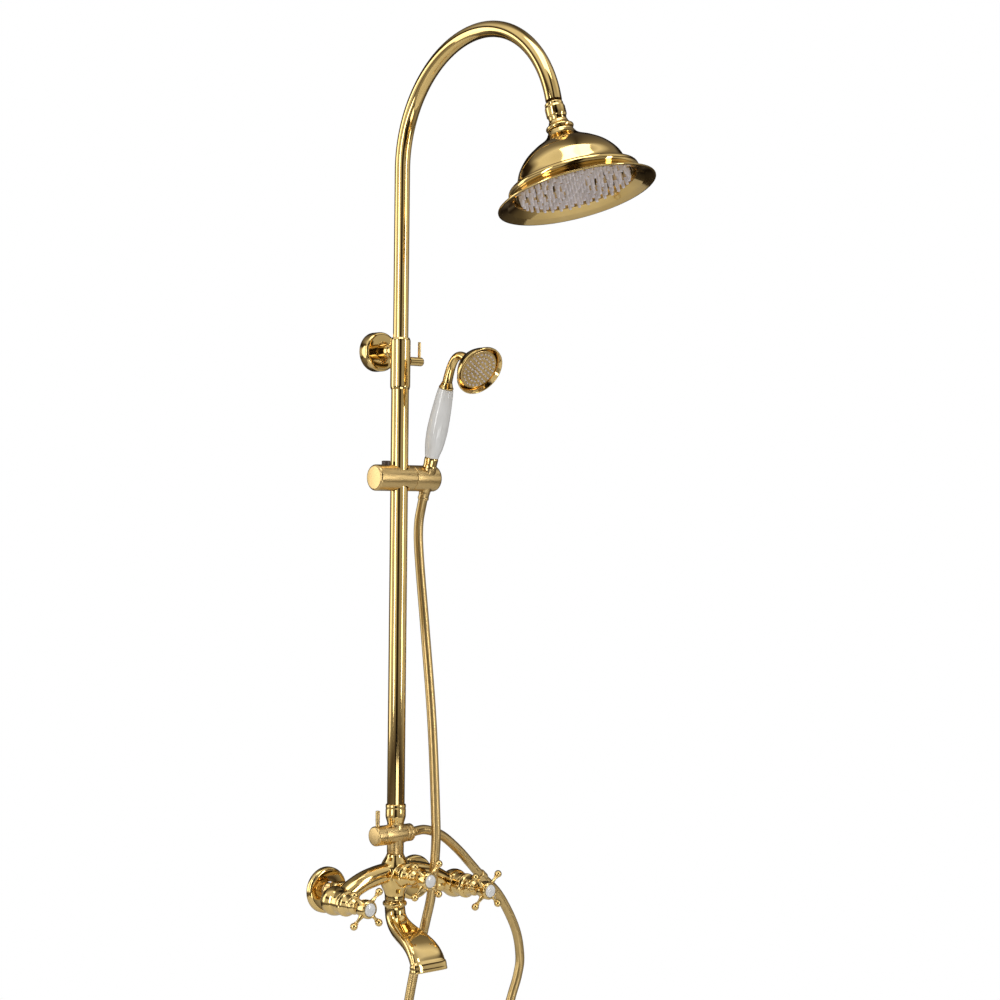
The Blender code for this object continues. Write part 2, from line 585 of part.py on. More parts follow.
def on_head(obj, axis=HEAD_AXIS):
    """Place a piece whose local Z runs down the axis from the arm's end; origin at the ball."""
    obj.data.transform(Matrix.Translation((0, 0, -BALL_DROP)))
    return place(obj, BALL_CENTRE, axis)


def hung(name, profile, segments, closed=False, axis=HEAD_AXIS):
    """A turned piece of the head, its outer side listed from the arm's end down to the rim."""
    return on_head(turned(name, list(reversed(profile)), segments, closed), axis)


def riser_arm():
    """Upper tube bent into the gooseneck, open at both ends."""
    arm = tube("riser_arm", gooseneck_route(UPPER_LOW), UPPER_R, 2)
    inside = gooseneck_route(UPPER_LOW - 0.010)
    inside.append(inside[-1] + ARM_AXIS * 0.006)
    cut(arm, tube("arm_bore", inside, UPPER_BORE - 0.0004, 1))
    finish(arm, "polished")
    arm.data.transform(Matrix.Translation((0, -RISER_Y, 0)))
    arm.location = (0, RISER_Y, 0)


def bell_outline():
    """Outer side of the bell, from its neck to the rim: an ogee dome, a bead and a flared skirt."""
    dome = [(0.0086, 0.0395), (0.0150, 0.0395), (0.0165, 0.0435), (0.0205, 0.0480), (0.0280, 0.0535),
            (0.0395, 0.0600), (0.0530, 0.0700), (0.0635, 0.0830), (0.0690, 0.0960), (0.0722, 0.1020)]
    bead = arc((0.0768, 0.1083), 0.0058, -70, 65, 3)
    skirt = [(0.0822, 0.1168), (0.0890, 0.1213), (HEAD_R, 0.1240), (HEAD_R, 0.1262)]
    return dome + bead + skirt


def rain_head():
    """Swivel ball, seat, nut, collar, bell, spray plate and silicone nozzles."""
    stud = hung("swivel_ball", [
        (0.0, -0.0080), (0.0072, -0.0080), (0.0072, 0.0003), (0.0098, 0.0003), (0.0045, 0.0012)] + arc(
            (0.0, BALL_DROP), 0.0080, -55, 90, 6), 14, axis=ARM_AXIS)
    finish(stud, "satin")
    seat = hung("ball_seat", [
        (0.0060, 0.0182), (0.0075, 0.0182), (0.0075, 0.0205), (0.0036, 0.0205)], 14, closed=True)
    finish(seat, "nylon")
    nut = hung("swivel_nut", [
        (0.0076, 0.0032), (0.0104, 0.0032), (0.0126, 0.0062), (0.0128, 0.0220), (0.0112, 0.0268), (0.0100, 0.0268),
        (0.0100, 0.0160), (0.0084, 0.0078)], 20, closed=True)
    finish(nut, "polished")
    collar = hung("head_collar", [
        (0.0040, 0.0228), (0.0097, 0.0228), (0.0097, 0.0271), (0.0130, 0.0271), (0.0138, 0.0295), (0.0130, 0.0318),
        (0.0172, 0.0345), (0.0178, 0.0364), (0.0165, 0.0388), (0.0080, 0.0388), (0.0080, 0.0560), (0.0040, 0.0560)],
        18, closed=True)
    finish(collar, "polished")
    outline = bell_outline()
    inner = [(0.0975, 0.1262), (0.0870, 0.1228), (0.0772, 0.1165), (0.0769, 0.1072), (0.0700, 0.1042),
             (0.0668, 0.0960), (0.0608, 0.0842), (0.0510, 0.0728), (0.0370, 0.0630), (0.0180, 0.0530), (0.0086, 0.0480)]
    bell = hung("rain_bell", outline + inner, 28, closed=True)
    finish(bell, "polished")
    plate = hung("spray_plate", [
        (0.0, 0.1080), (0.0752, 0.1080), (0.0764, 0.1092), (0.0764, 0.1115), (0.0752, 0.1125), (0.0, 0.1125)], 24)
    finish(plate, "polished")
    mat = hung("rain_nozzles", [(0.0, 0.1128), (0.0730, 0.1128), (0.0730, 0.1140), (0.0, 0.1140)], 20)
    join(mat, on_head(stud_field("nozzle_studs", 4, 0.0215, 4, 0.0026, 0.0015, 0.1133, 0.1215)))
    finish(mat, "silicone")


def stud_field(name, rows, pitch, sides, base, tip, low, high):
    """Tapered nozzles on concentric rings, six more on each ring, as one object along local Z."""
    mesh = bpy.data.meshes.new(name)
    bm = bmesh.new()
    for row in range(rows):
        count = max(1, 6 * row)
        for k in range(count):
            a = 2 * math.pi * (k + 0.5 * (row % 2)) / count
            at = Matrix.Translation((pitch * row * math.cos(a), pitch * row * math.sin(a), (low + high) / 2))
            bmesh.ops.create_cone(bm, cap_ends=True, segments=sides, radius1=base, radius2=tip,
                                  depth=high - low, matrix=at)
    bm.to_mesh(mesh)
    bm.free()
    obj = bpy.data.objects.new(name, mesh)
    bpy.data.collections[PARTS].objects.link(obj)
    return obj


# ---------------------------------------------------------------- slider and hand shower
def slider():
    """Slider with its liner and release button, and the tilting holder."""
    body = turned("slider_body", [
        (0.0, SLIDER_SEAM), (SLIDER_R - 0.0006, SLIDER_SEAM), (SLIDER_R, SLIDER_SEAM - 0.0006)] + arc(
            (SLIDER_R - 0.0035, SLIDER_LEFT + 0.0035), 0.0035, 0, -90, 3) + [(0.0, SLIDER_LEFT)], 22)
    place(body, (0, RISER_Y, SLIDER_Z), ALONG_X)
    cut(body, place(rod("slider_bore", 0.0142, -0.025, 0.025, 16), (0, RISER_Y, SLIDER_Z)))
    cut(body, place(rod("slider_pivot_bore", 0.0078, 0.0156, 0.022, 10), (0, RISER_Y, SLIDER_Z), ALONG_X))
    cut(body, place(rod("slider_button_bore", 0.0065, 0.0020, 0.0240, 10), (BUTTON_X, RISER_Y, SLIDER_Z)))
    finish(body, "satin")
    liner = ring("slider_liner", 0.0139, LOWER_R + GAP, -0.0100, 0.0100, 20)
    finish(place(liner, (0, RISER_Y, SLIDER_Z)), "nylon")
    button = turned("slider_button", [(0.0, 0.0230)] + arc((0.0045, 0.0215), 0.0015, 90, 0, 3) + [
        (0.0060, 0.0070), (0.0, 0.0070)], 14)
    finish(place(button, (BUTTON_X, RISER_Y, SLIDER_Z)), "dark")
    holder = turned("handset_holder", [
        (0.0, HOLDER_RIGHT), (SLIDER_R - 0.0050, HOLDER_RIGHT), (SLIDER_R, HOLDER_RIGHT - 0.0045),
        (SLIDER_R, SLIDER_SEAM + GAP + 0.0006), (SLIDER_R - 0.0006, SLIDER_SEAM + GAP), (0.0070, SLIDER_SEAM + GAP),
        (0.0070, 0.0160), (0.0, 0.0160)], 22)
    place(holder, (0, RISER_Y, SLIDER_Z), ALONG_X)
    cone = turned("holder_cone", [(0.0, 0.0300), (0.0103, 0.0300), (0.0085, -0.0300), (0.0, -0.0300)], 16)
    cut(holder, place(cone, (HANDSET_X, HANDSET_Y, SLIDER_Z), HANDSET_AXIS))
    finish(holder, "satin")


HANDSET_AXIS = Vector((0, -math.sin(HANDSET_TILT), math.cos(HANDSET_TILT)))
HANDSET_BASE = Vector((HANDSET_X, HANDSET_Y, SLIDER_Z))


def on_handset(obj):
    """Place a piece whose local Z runs up the handset's axis from the holder's centre."""
    return place(obj, HANDSET_BASE, HANDSET_AXIS)


def neck_route():
    """Axis of the bent tube from the handle's top ferrule over into the back of the head."""
    start = HANDSET_BASE + HANDSET_AXIS * 0.1370
    normal = Vector((0, -math.cos(FACE_DIP), -math.sin(FACE_DIP)))
    back = Vector(FACE_CENTRE) - normal * 0.0270
    handles = [start, start + HANDSET_AXIS * 0.040, back - normal * 0.026, back]
    points = []
    for i in range(11):
        t = i / 10
        w = ((1 - t) ** 3, 3 * t * (1 - t) ** 2, 3 * t * t * (1 - t), t ** 3)
        points.append(sum((h * k for h, k in zip(handles, w)), Vector()))
    return points + [back + normal * 0.003], normal


def handset():
    """Cone nut, ferrules, porcelain handle, bent neck with the bell head, face plate and nozzles."""
    cone = turned("hose_cone_nut", [
        (0.0094, 0.0160), (0.0082, -0.0183), (0.0074, -0.0190), (0.0050, -0.0190), (0.0050, 0.0160)], 18, closed=True)
    finish(on_handset(cone), "satin")
    ferrule = turned("handset_ferrule", [
        (0.0, 0.0300), (0.0088, 0.0300), (0.0096, 0.0280), (0.0092, 0.0190), (0.0098, 0.0163), (0.0048, 0.0163),
        (0.0048, 0.0080), (0.0, 0.0080)], 18)
    finish(on_handset(ferrule), "polished")
    handle = turned("handset_handle", [
        (0.0, 0.1270), (0.0092, 0.1270), (0.0104, 0.1262), (0.0119, 0.1130), (0.0134, 0.0930), (0.0142, 0.0730),
        (0.0139, 0.0600), (0.0126, 0.0460), (0.0104, 0.0350), (0.0094, 0.0303), (0.0, 0.0303)], 20)
    finish(on_handset(handle), "porcelain")
    collar = turned("handset_collar", [
        (0.0, 0.1365), (0.0086, 0.1365), (0.0120, 0.1325), (0.0122, 0.1300), (0.0098, 0.1273), (0.0, 0.1273)], 18)
    finish(on_handset(collar), "polished")
    route, normal = neck_route()
    tapers = [1.0 - 0.15 * math.sin(math.pi * min(1.0, i / 11)) for i in range(len(route))]
    neck = tube("handset_head", route, 0.0068, 2, tapers)
    bell = turned("handset_bell", list(reversed([
        (0.0, -0.0285), (0.0080, -0.0280), (0.0150, -0.0255), (0.0225, -0.0205), (0.0285, -0.0130), (0.0318, -0.0070),
        (FACE_R, -0.0030), (FACE_R, 0.0), (FACE_R - 0.0018, 0.0), (0.0300, -0.0070), (0.0240, -0.0165), (0.0, -0.0205)])), 22)
    join(neck, place(bell, FACE_CENTRE, normal))
    finish(neck, "polished")
    neck.data.transform(Matrix.Translation(-HANDSET_BASE))
    neck.location = HANDSET_BASE
    face = turned("handset_face", [
        (0.0, -0.0040), (0.0280, -0.0040), (0.0280, -0.0058), (0.0262, -0.0085), (0.0, -0.0085)], 22)
    finish(place(face, FACE_CENTRE, normal), "satin")
    pads = turned("handset_nozzles", [(0.0, -0.0027), (0.0255, -0.0027), (0.0255, -0.0037), (0.0, -0.0037)], 18)
    join(pads, place(stud_field("handset_studs", 3, 0.0100, 5, 0.0018, 0.0014, -0.0032, -0.0004), FACE_CENTRE, normal))
    finish(place(pads, FACE_CENTRE, normal), "silicone")


# ---------------------------------------------------------------- hose
def hose():
    """The hanging hose, and its crimp sleeve under the cone nut."""
    route = smooth_route(HOSE_ROUTE, HOSE_STEP)
    finish(tube("shower_hose", route, HOSE_R, 1), "hose")
    sleeve = ring("hose_sleeve", 0.0077, HOSE_R + GAP, -0.0300, -0.0193, 16)
    finish(on_handset(sleeve), "satin")


def build():
    """Make every piece."""
    clear_scene()
    mixer_body()
    for side, sign in (("left", -1), ("right", 1)):
        inlet(side, sign)
    valve("hot", (-VALVE_X, VALVE_Y, VALVE_Z))
    valve("cold", (VALVE_X, VALVE_Y, VALVE_Z))
    valve("divert", (0, RISER_Y, DIVERT_Z))
    spout()
    tee()
    riser()
    riser_arm()
    rain_head()
    slider()
    handset()
    hose()


build()
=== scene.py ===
"""Looks for the rainfall shower column: polished and satin brass, porcelain, silicone and a metal hose.

Every fine piece stands for the CAD node of the same name and lies in the same place; all but the two
stretches of wound hose ride on their bodies.
Metres, +Z up, X along the wall, +Y into the wall, as in the frame.
"""

import json
import math

import bmesh
import bpy
from mathutils import Matrix, Vector

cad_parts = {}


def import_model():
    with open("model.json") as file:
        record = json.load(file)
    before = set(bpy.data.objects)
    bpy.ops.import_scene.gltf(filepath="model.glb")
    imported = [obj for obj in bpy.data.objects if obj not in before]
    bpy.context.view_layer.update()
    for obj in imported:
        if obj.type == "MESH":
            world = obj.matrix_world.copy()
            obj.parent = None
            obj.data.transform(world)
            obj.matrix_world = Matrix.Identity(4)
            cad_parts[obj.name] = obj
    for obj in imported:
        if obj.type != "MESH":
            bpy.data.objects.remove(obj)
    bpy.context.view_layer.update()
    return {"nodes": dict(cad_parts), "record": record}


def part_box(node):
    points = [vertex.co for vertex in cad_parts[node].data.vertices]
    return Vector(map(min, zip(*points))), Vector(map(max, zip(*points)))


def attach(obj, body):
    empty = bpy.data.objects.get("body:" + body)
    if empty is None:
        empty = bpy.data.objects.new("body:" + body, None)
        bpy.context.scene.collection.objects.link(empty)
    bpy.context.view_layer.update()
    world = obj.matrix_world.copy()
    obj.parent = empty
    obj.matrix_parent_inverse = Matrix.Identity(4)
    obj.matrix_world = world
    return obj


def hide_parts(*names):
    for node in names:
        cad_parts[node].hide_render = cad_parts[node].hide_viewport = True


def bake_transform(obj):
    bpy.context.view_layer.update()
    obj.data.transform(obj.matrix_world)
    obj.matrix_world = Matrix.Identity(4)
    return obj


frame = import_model()

RECORD = frame["record"]
BODY_OF = {n: body for body, group in RECORD["behaviour"]["bodies"].items() for n in group}
SLOT_OF = {row["node"]: row["material_slot"] for row in RECORD["subparts"]}

GAP = 0.0003                 # clearance between pieces that touch
TO_USER = Vector((0, -1, 0))
ALONG_X = Vector((1, 0, 0))
UP = Vector((0, 0, 1))


def middle(node):
    """Centre of a CAD node's box."""
    low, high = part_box(node)
    return (low + high) / 2


# Places, read from the frame
RISER_Y = middle("riser_lower_tube").y
SLIDER_Z = middle("slider_body").z
BRACKET_Z = middle("bracket_flange").z
TEE_Z = middle("tee_cartridge").z
LOCK_Z = BRACKET_Z - 0.014
VALVE_X = middle("bonnet_cold").x
VALVE_Z = middle("bonnet_cold").z
DIVERT_Z = middle("bonnet_divert").z
VALVE_Y = -0.060
INLET_X = middle("inlet_union_right").x
HANDSET_X = 0.0440
HANDSET_TILT = math.radians(17.5)
HANDSET_AXIS = Vector((0, -math.sin(HANDSET_TILT), math.cos(HANDSET_TILT)))
HANDSET_BASE = Vector((HANDSET_X, -0.063, SLIDER_Z))


# ---------------------------------------------------------------- camera, stage and light
CAMERA_PLACE = (-1.6652, -2.1977, 0.5286)
CAMERA_AZIMUTH = 40.77       # degrees round from the front, towards the hot side
CAMERA_ROLL = 0.60           # degrees
LENS = 72.0                  # mm, on a sensor of SENSOR mm
SENSOR = 36.0
FLOOR_Z = -0.95
FLOOR_R = 2.25


def camera():
    """The photograph's view: level, from the hot side, with a trace of roll."""
    azimuth, roll = math.radians(CAMERA_AZIMUTH), math.radians(CAMERA_ROLL)
    forward = Vector((math.sin(azimuth), math.cos(azimuth), 0.0))
    flat = Vector((math.cos(azimuth), -math.sin(azimuth), 0.0))
    right = math.cos(roll) * flat + math.sin(roll) * UP
    up = right.cross(forward)
    data = bpy.data.cameras.new("camera")
    data.lens = LENS
    data.sensor_width = SENSOR
    data.clip_end = 50.0
    obj = bpy.data.objects.new("camera", data)
    bpy.context.scene.collection.objects.link(obj)
    turn = Matrix((right, up, -forward)).transposed().to_4x4()
    obj.matrix_world = Matrix.Translation(CAMERA_PLACE) @ turn
    bpy.context.scene.camera = obj


def node_tree(owner):
    """The cleared node tree of a material or a world."""
    owner.use_nodes = True
    tree = owner.node_tree
    tree.nodes.clear()
    return tree


def add(tree, kind, **values):
    """A node of that kind; values are its properties, or its inputs by name."""
    node = tree.nodes.new(kind)
    for key, value in values.items():
        name = key.replace("_", " ")
        if name in node.inputs:
            node.inputs[name].default_value = value
        else:
            setattr(node, key, value)
    return node


def ramp(tree, source, stops):
    """A colour ramp fed by a socket; stops are (position, colour)."""
    node = tree.nodes.new("ShaderNodeValToRGB")
    while len(node.color_ramp.elements) < len(stops):
        node.color_ramp.elements.new(0.5)
    for element, (place, colour) in zip(node.color_ramp.elements, stops):
        element.position = place
        element.color = (*colour, 1.0)
    tree.links.new(source, node.inputs["Fac"])
    return node.outputs["Color"]


def world():
    """A studio: white to the camera; for reflections a pale ceiling and floor and walls with dark gaps."""
    tree = node_tree(bpy.data.worlds.new("studio"))
    bpy.context.scene.world = bpy.data.worlds["studio"]
    coordinates = add(tree, "ShaderNodeTexCoord")
    split = add(tree, "ShaderNodeSeparateXYZ")
    tree.links.new(coordinates.outputs["Generated"], split.inputs[0])
    height = add(tree, "ShaderNodeMapRange")
    height.inputs["From Min"].default_value = -1.0
    height.inputs["From Max"].default_value = 1.0
    tree.links.new(split.outputs["Z"], height.inputs["Value"])
    levels = ramp(tree, height.outputs["Result"], [
        (0.00, (0.48, 0.46, 0.43)), (0.30, (0.34, 0.32, 0.29)), (0.37, (0.08, 0.06, 0.05)),
        (0.43, (0.70, 0.69, 0.67)), (0.60, (0.80, 0.79, 0.77)), (0.66, (0.06, 0.04, 0.03)),
        (0.72, (0.10, 0.08, 0.06)), (0.79, (1.0, 1.0, 0.99)), (1.00, (1.0, 1.0, 1.0))])
    around = add(tree, "ShaderNodeTexGradient", gradient_type="RADIAL")
    tree.links.new(coordinates.outputs["Generated"], around.inputs["Vector"])
    walls = ramp(tree, around.outputs["Fac"], [
        (0.00, (0.85, 0.85, 0.84)), (0.095, (0.90, 0.90, 0.89)), (0.115, (0.04, 0.03, 0.02)),
        (0.172, (0.04, 0.03, 0.02)), (0.195, (0.60, 0.59, 0.57)), (0.300, (0.50, 0.49, 0.47)),
        (0.420, (1.0, 1.0, 1.0)), (0.500, (0.30, 0.28, 0.25)), (0.640, (0.06, 0.05, 0.04)),
        (0.780, (0.30, 0.28, 0.25)), (0.870, (1.0, 1.0, 1.0)), (1.00, (0.85, 0.85, 0.84))])
    room = add(tree, "ShaderNodeMix", data_type="RGBA", blend_type="MULTIPLY")
    room.inputs[0].default_value = 1.0
    tree.links.new(levels, room.inputs[6])
    tree.links.new(walls, room.inputs[7])
    studio = add(tree, "ShaderNodeBackground", Strength=0.95)
    tree.links.new(room.outputs[2], studio.inputs["Color"])
    white = add(tree, "ShaderNodeBackground", Color=(1, 1, 1, 1), Strength=1.0)
    path = add(tree, "ShaderNodeLightPath")
    mix = add(tree, "ShaderNodeMixShader")
    tree.links.new(path.outputs["Is Camera Ray"], mix.inputs["Fac"])
    tree.links.new(studio.outputs[0], mix.inputs[1])
    tree.links.new(white.outputs[0], mix.inputs[2])
    out = add(tree, "ShaderNodeOutputWorld")
    tree.links.new(mix.outputs[0], out.inputs["Surface"])


def softbox(name, place, target, size, power):
    """A rectangular area light aimed at a point."""
    data = bpy.data.lights.new(name, "AREA")
    data.shape = "RECTANGLE"
    data.size, data.size_y = size
    data.energy = power
    obj = bpy.data.objects.new(name, data)
    bpy.context.scene.collection.objects.link(obj)
    obj.location = place
    obj.rotation_mode = "QUATERNION"
    obj.rotation_quaternion = (Vector(target) - Vector(place)).to_track_quat("-Z", "Y")


def lights():
    """Tall soft boxes on both sides, a broad one above and one low in front."""
    softbox("key", (-2.8, -0.5, 0.9), (0, -0.1, 0.4), (0.45, 2.6), 24)
    softbox("side", (1.1, -2.7, 0.9), (0, -0.1, 0.4), (0.40, 2.4), 24)
    softbox("top", (-0.4, -0.8, 2.9), (0, -0.2, 0.5), (1.6, 1.2), 18)
    softbox("low", (-0.9, -2.4, -0.8), (0, -0.2, 0.6), (1.4, 0.5), 6)
    softbox("back", (-1.9, 2.0, 0.7), (0, 0, 0.4), (0.9, 2.2), 12)


# ---------------------------------------------------------------- materials
def surface(name, metallic, roughness):
    """A Principled shader with its output and object coordinates."""
    mat = bpy.data.materials.new(name)
    tree = node_tree(mat)
    shader = add(tree, "ShaderNodeBsdfPrincipled", Metallic=metallic, Roughness=roughness)
    out = add(tree, "ShaderNodeOutputMaterial")
    tree.links.new(shader.outputs[0], out.inputs["Surface"])
    where = add(tree, "ShaderNodeTexCoord").outputs["Object"]
    return mat, tree, shader, where


def noise(tree, where, scale, detail=3.0, stretch=None):
    """Noise in object space; stretch scales the coordinates per axis."""
    node = add(tree, "ShaderNodeTexNoise", Scale=scale, Detail=detail)
    if stretch:
        mapping = add(tree, "ShaderNodeMapping", Scale=stretch)
        tree.links.new(where, mapping.inputs["Vector"])
        where = mapping.outputs["Vector"]
    tree.links.new(where, node.inputs["Vector"])
    return node.outputs["Fac"]


def vary(tree, source, low, high):
    """A number that runs between low and high as the source goes from 0.3 to 0.7."""
    node = add(tree, "ShaderNodeMapRange")
    node.inputs["From Min"].default_value = 0.3
    node.inputs["From Max"].default_value = 0.7
    node.inputs["To Min"].default_value = low
    node.inputs["To Max"].default_value = high
    tree.links.new(source, node.inputs["Value"])
    return node.outputs["Result"]


def bump(tree, shader, source, distance, strength=1.0):
    """Relief from the source, at its real height in metres."""
    node = add(tree, "ShaderNodeBump", Strength=strength, Distance=distance)
    tree.links.new(source, node.inputs["Height"])
    tree.links.new(node.outputs["Normal"], shader.inputs["Normal"])


def polished_brass():
    """Mirror polish: a warm yellow with faint clouding, buffing haze and hairline wipe marks."""
    mat, tree, shader, where = surface("polished_brass", 1.0, 0.07)
    cloud = noise(tree, where, 26.0)
    tint = ramp(tree, cloud, [
        (0.30, (0.75, 0.530, 0.200)), (0.52, (0.79, 0.565, 0.225)), (0.75, (0.83, 0.605, 0.260))])
    tree.links.new(tint, shader.inputs["Base Color"])
    haze = noise(tree, where, 60.0, 2.0)
    tree.links.new(vary(tree, haze, 0.065, 0.095), shader.inputs["Roughness"])
    bump(tree, shader, noise(tree, where, 40.0, 1.0), 0.00001, 0.5)
    return mat


def satin_brass():
    """Brushed brass: fine scratches along X and a softer, paler sheen."""
    mat, tree, shader, where = surface("satin_brass", 1.0, 0.28)
    scratches = noise(tree, where, 900.0, 4.0, (0.06, 1.0, 1.0))
    tint = ramp(tree, scratches, [
        (0.25, (0.64, 0.450, 0.190)), (0.55, (0.67, 0.475, 0.205)), (0.80, (0.70, 0.505, 0.225))])
    tree.links.new(tint, shader.inputs["Base Color"])
    tree.links.new(vary(tree, scratches, 0.25, 0.34), shader.inputs["Roughness"])
    bump(tree, shader, scratches, 0.000006, 0.2)
    return mat


def hose_brass():
    """The hose's rolled strip: satin, darker in the seams of its winding."""
    mat, tree, shader, where = surface("hose_brass", 1.0, 0.30)
    cloud = noise(tree, where, 140.0, 4.0)
    tint = ramp(tree, cloud, [
        (0.30, (0.58, 0.410, 0.170)), (0.55, (0.61, 0.435, 0.185)), (0.75, (0.64, 0.460, 0.205))])
    tree.links.new(tint, shader.inputs["Base Color"])
    tree.links.new(vary(tree, cloud, 0.28, 0.36), shader.inputs["Roughness"])
    bump(tree, shader, noise(tree, where, 700.0, 3.0), 0.00001, 0.4)
    return mat


def porcelain():
    """White glaze over clay, with a trace of warmth, a few specks and a slow ripple."""
    mat, tree, shader, where = surface("porcelain_glaze", 0.0, 0.14)
    shader.inputs["Coat Weight"].default_value = 0.6
    shader.inputs["Coat Roughness"].default_value = 0.05
    cloud = noise(tree, where, 38.0, 4.0)
    tint = ramp(tree, cloud, [
        (0.25, (0.74, 0.74, 0.73)), (0.50, (0.79, 0.79, 0.78)), (0.80, (0.83, 0.83, 0.83))])
    tree.links.new(tint, shader.inputs["Base Color"])
    tree.links.new(vary(tree, noise(tree, where, 160.0), 0.10, 0.20), shader.inputs["Roughness"])
    bump(tree, shader, noise(tree, where, 70.0, 1.0), 0.00004, 0.4)
    return mat


def plain(name, dark, light, roughness, scale, relief):
    """A moulded or cast material: mottled between two colours, with its own grain."""
    mat, tree, shader, where = surface(name, 0.0, roughness)
    grain = noise(tree, where, scale, 5.0)
    tree.links.new(ramp(tree, grain, [(0.30, dark), (0.70, light)]), shader.inputs["Base Color"])
    tree.links.new(vary(tree, grain, roughness * 0.85, roughness * 1.15), shader.inputs["Roughness"])
    bump(tree, shader, noise(tree, where, scale * 6.0), relief, 0.5)
    return mat


MATERIALS = {
    "polished": polished_brass(),
    "satin": satin_brass(),
    "hose": hose_brass(),
    "porcelain": porcelain(),
    "ceramic": plain("cartridge_ceramic", (0.62, 0.60, 0.56), (0.80, 0.78, 0.74), 0.35, 300.0, 0.00002),
    "nylon": plain("nylon", (0.70, 0.68, 0.62), (0.84, 0.82, 0.76), 0.45, 240.0, 0.00003),
    "rubber": plain("rubber", (0.020, 0.020, 0.020), (0.050, 0.050, 0.050), 0.60, 320.0, 0.00003),
    "silicone": plain("silicone", (0.72, 0.68, 0.72), (0.84, 0.80, 0.84), 0.50, 260.0, 0.00003),
    "dark": plain("dark_plastic", (0.030, 0.018, 0.012), (0.075, 0.050, 0.036), 0.38, 300.0, 0.00002),
}


# ---------------------------------------------------------------- shapes
def at(origin, axis):
    """Matrix that puts local Z on the axis through the origin."""
    turn = UP.rotation_difference(Vector(axis).normalized())
    return Matrix.Translation(origin) @ turn.to_matrix().to_4x4()


def rounded(profile, radius, closed=False):
    """The profile with each corner eased by up to the radius."""
    out = []
    count = len(profile)
    for i, point in enumerate(profile):
        here = Vector(point)
        if not closed and i in (0, count - 1):
            out.append(tuple(here))
            continue
        before, after = Vector(profile[i - 1]), Vector(profile[(i + 1) % count])
        reach = min(radius, 0.45 * (before - here).length, 0.45 * (after - here).length)
        a = here + (before - here).normalized() * reach
        b = here + (after - here).normalized() * reach
        if (here - before).angle(after - here, 0.0) < 0.12:
            out.append(tuple(here))
            continue
        for k in range(4):
            t = k / 3
            out.append(tuple(a * (1 - t) ** 2 + here * 2 * t * (1 - t) + b * t ** 2))
    return out


def flowing(points, steps=6):
    """A smooth curve through profile points or route points."""
    pts = [Vector(p) for p in points]
    ends = [pts[0] * 2 - pts[1]] + pts + [pts[-1] * 2 - pts[-2]]
    out = []
    for i in range(1, len(ends) - 2):
        a, b, c, d = ends[i - 1:i + 3]
        for k in range(steps):
            t = k / steps
            out.append(0.5 * (2 * b + (c - a) * t + (2 * a - 5 * b + 4 * c - d) * t ** 2
                              + (3 * b - a - 3 * c + d) * t ** 3))
    return out + [pts[-1]]


def arc(centre, radius, start, stop, steps=8):
    """Profile points on a circle, angles in degrees from the local X axis."""
    turn = [math.radians(start + (stop - start) * i / steps) for i in range(steps + 1)]
    return [(centre[0] + radius * math.cos(a), centre[1] + radius * math.sin(a)) for a in turn]


def new_object(name, bm):
    """An object from a bmesh, normals outward."""
    bmesh.ops.recalc_face_normals(bm, faces=bm.faces)
    mesh = bpy.data.meshes.new(name)
    bm.to_mesh(mesh)
    bm.free()
    obj = bpy.data.objects.new(name, mesh)
    bpy.context.scene.collection.objects.link(obj)
    return obj


def skin(bm, rows, closed):
    """Quads between rings of vertices; a ring of one vertex is a pole."""
    pairs = list(zip(rows, rows[1:])) + ([(rows[-1], rows[0])] if closed else [])
    for a, b in pairs:
        sides = max(len(a), len(b))
        for k in range(sides):
            n = (k + 1) % sides
            quad = [a[k % len(a)], a[n % len(a)], b[n % len(b)], b[k % len(b)]]
            corners = list(dict.fromkeys(quad))
            if len(corners) > 2:
                bm.faces.new(corners)


def lathe(name, profile, matrix=Matrix.Identity(4), segments=72, closed=False):
    """A turned shape about local Z, from (radius, height) points."""
    bm = bmesh.new()
    rows = []
    for r, z in profile:
        if r < 1e-7:
            rows.append([bm.verts.new(matrix @ Vector((0, 0, z)))])
            continue
        turn = [2 * math.pi * k / segments for k in range(segments)]
        rows.append([bm.verts.new(matrix @ Vector((r * math.cos(a), r * math.sin(a), z))) for a in turn])
    skin(bm, rows, closed)
    return new_object(name, bm)


def frames(points):
    """A frame that turns as little as it can at each point of a route: (point, side, up)."""
    ways = []
    for i in range(len(points)):
        ways.append((points[min(i + 1, len(points) - 1)] - points[max(i - 1, 0)]).normalized())
    side = ways[0].orthogonal().normalized()
    out = []
    for point, way in zip(points, ways):
        side = (side - way * side.dot(way)).normalized()
        out.append((point, side, way.cross(side)))
    return out


def tube(name, points, radius, sides=40):
    """A round bar along the points; radius is a number, or a function of the ring and the angle."""
    bm = bmesh.new()
    rows = []
    for i, (point, side, up) in enumerate(frames(points)):
        row = []
        for k in range(sides):
            a = 2 * math.pi * k / sides
            r = radius(i, a) if callable(radius) else radius
            row.append(bm.verts.new(point + side * (r * math.cos(a)) + up * (r * math.sin(a))))
        rows.append(row)
    skin(bm, rows, False)
    bm.faces.new(rows[0])
    bm.faces.new(rows[-1])
    return new_object(name, bm)


def settle(obj):
    """Apply the object's modifiers, and drop what they used."""
    used = [m.object for m in obj.modifiers if m.type == "BOOLEAN"]
    bpy.context.view_layer.update()
    mesh = bpy.data.meshes.new_from_object(obj.evaluated_get(bpy.context.evaluated_depsgraph_get()))
    obj.modifiers.clear()
    obj.data = mesh
    for other in used:
        bpy.data.objects.remove(other, do_unlink=True)
    return obj


def combine(obj, operation, *others):
    """Exact Booleans of the object with the others, applied."""
    for other in others:
        mod = obj.modifiers.new(other.name, "BOOLEAN")
        mod.operation = operation
        mod.solver = "EXACT"
        mod.object = other
    return settle(obj)


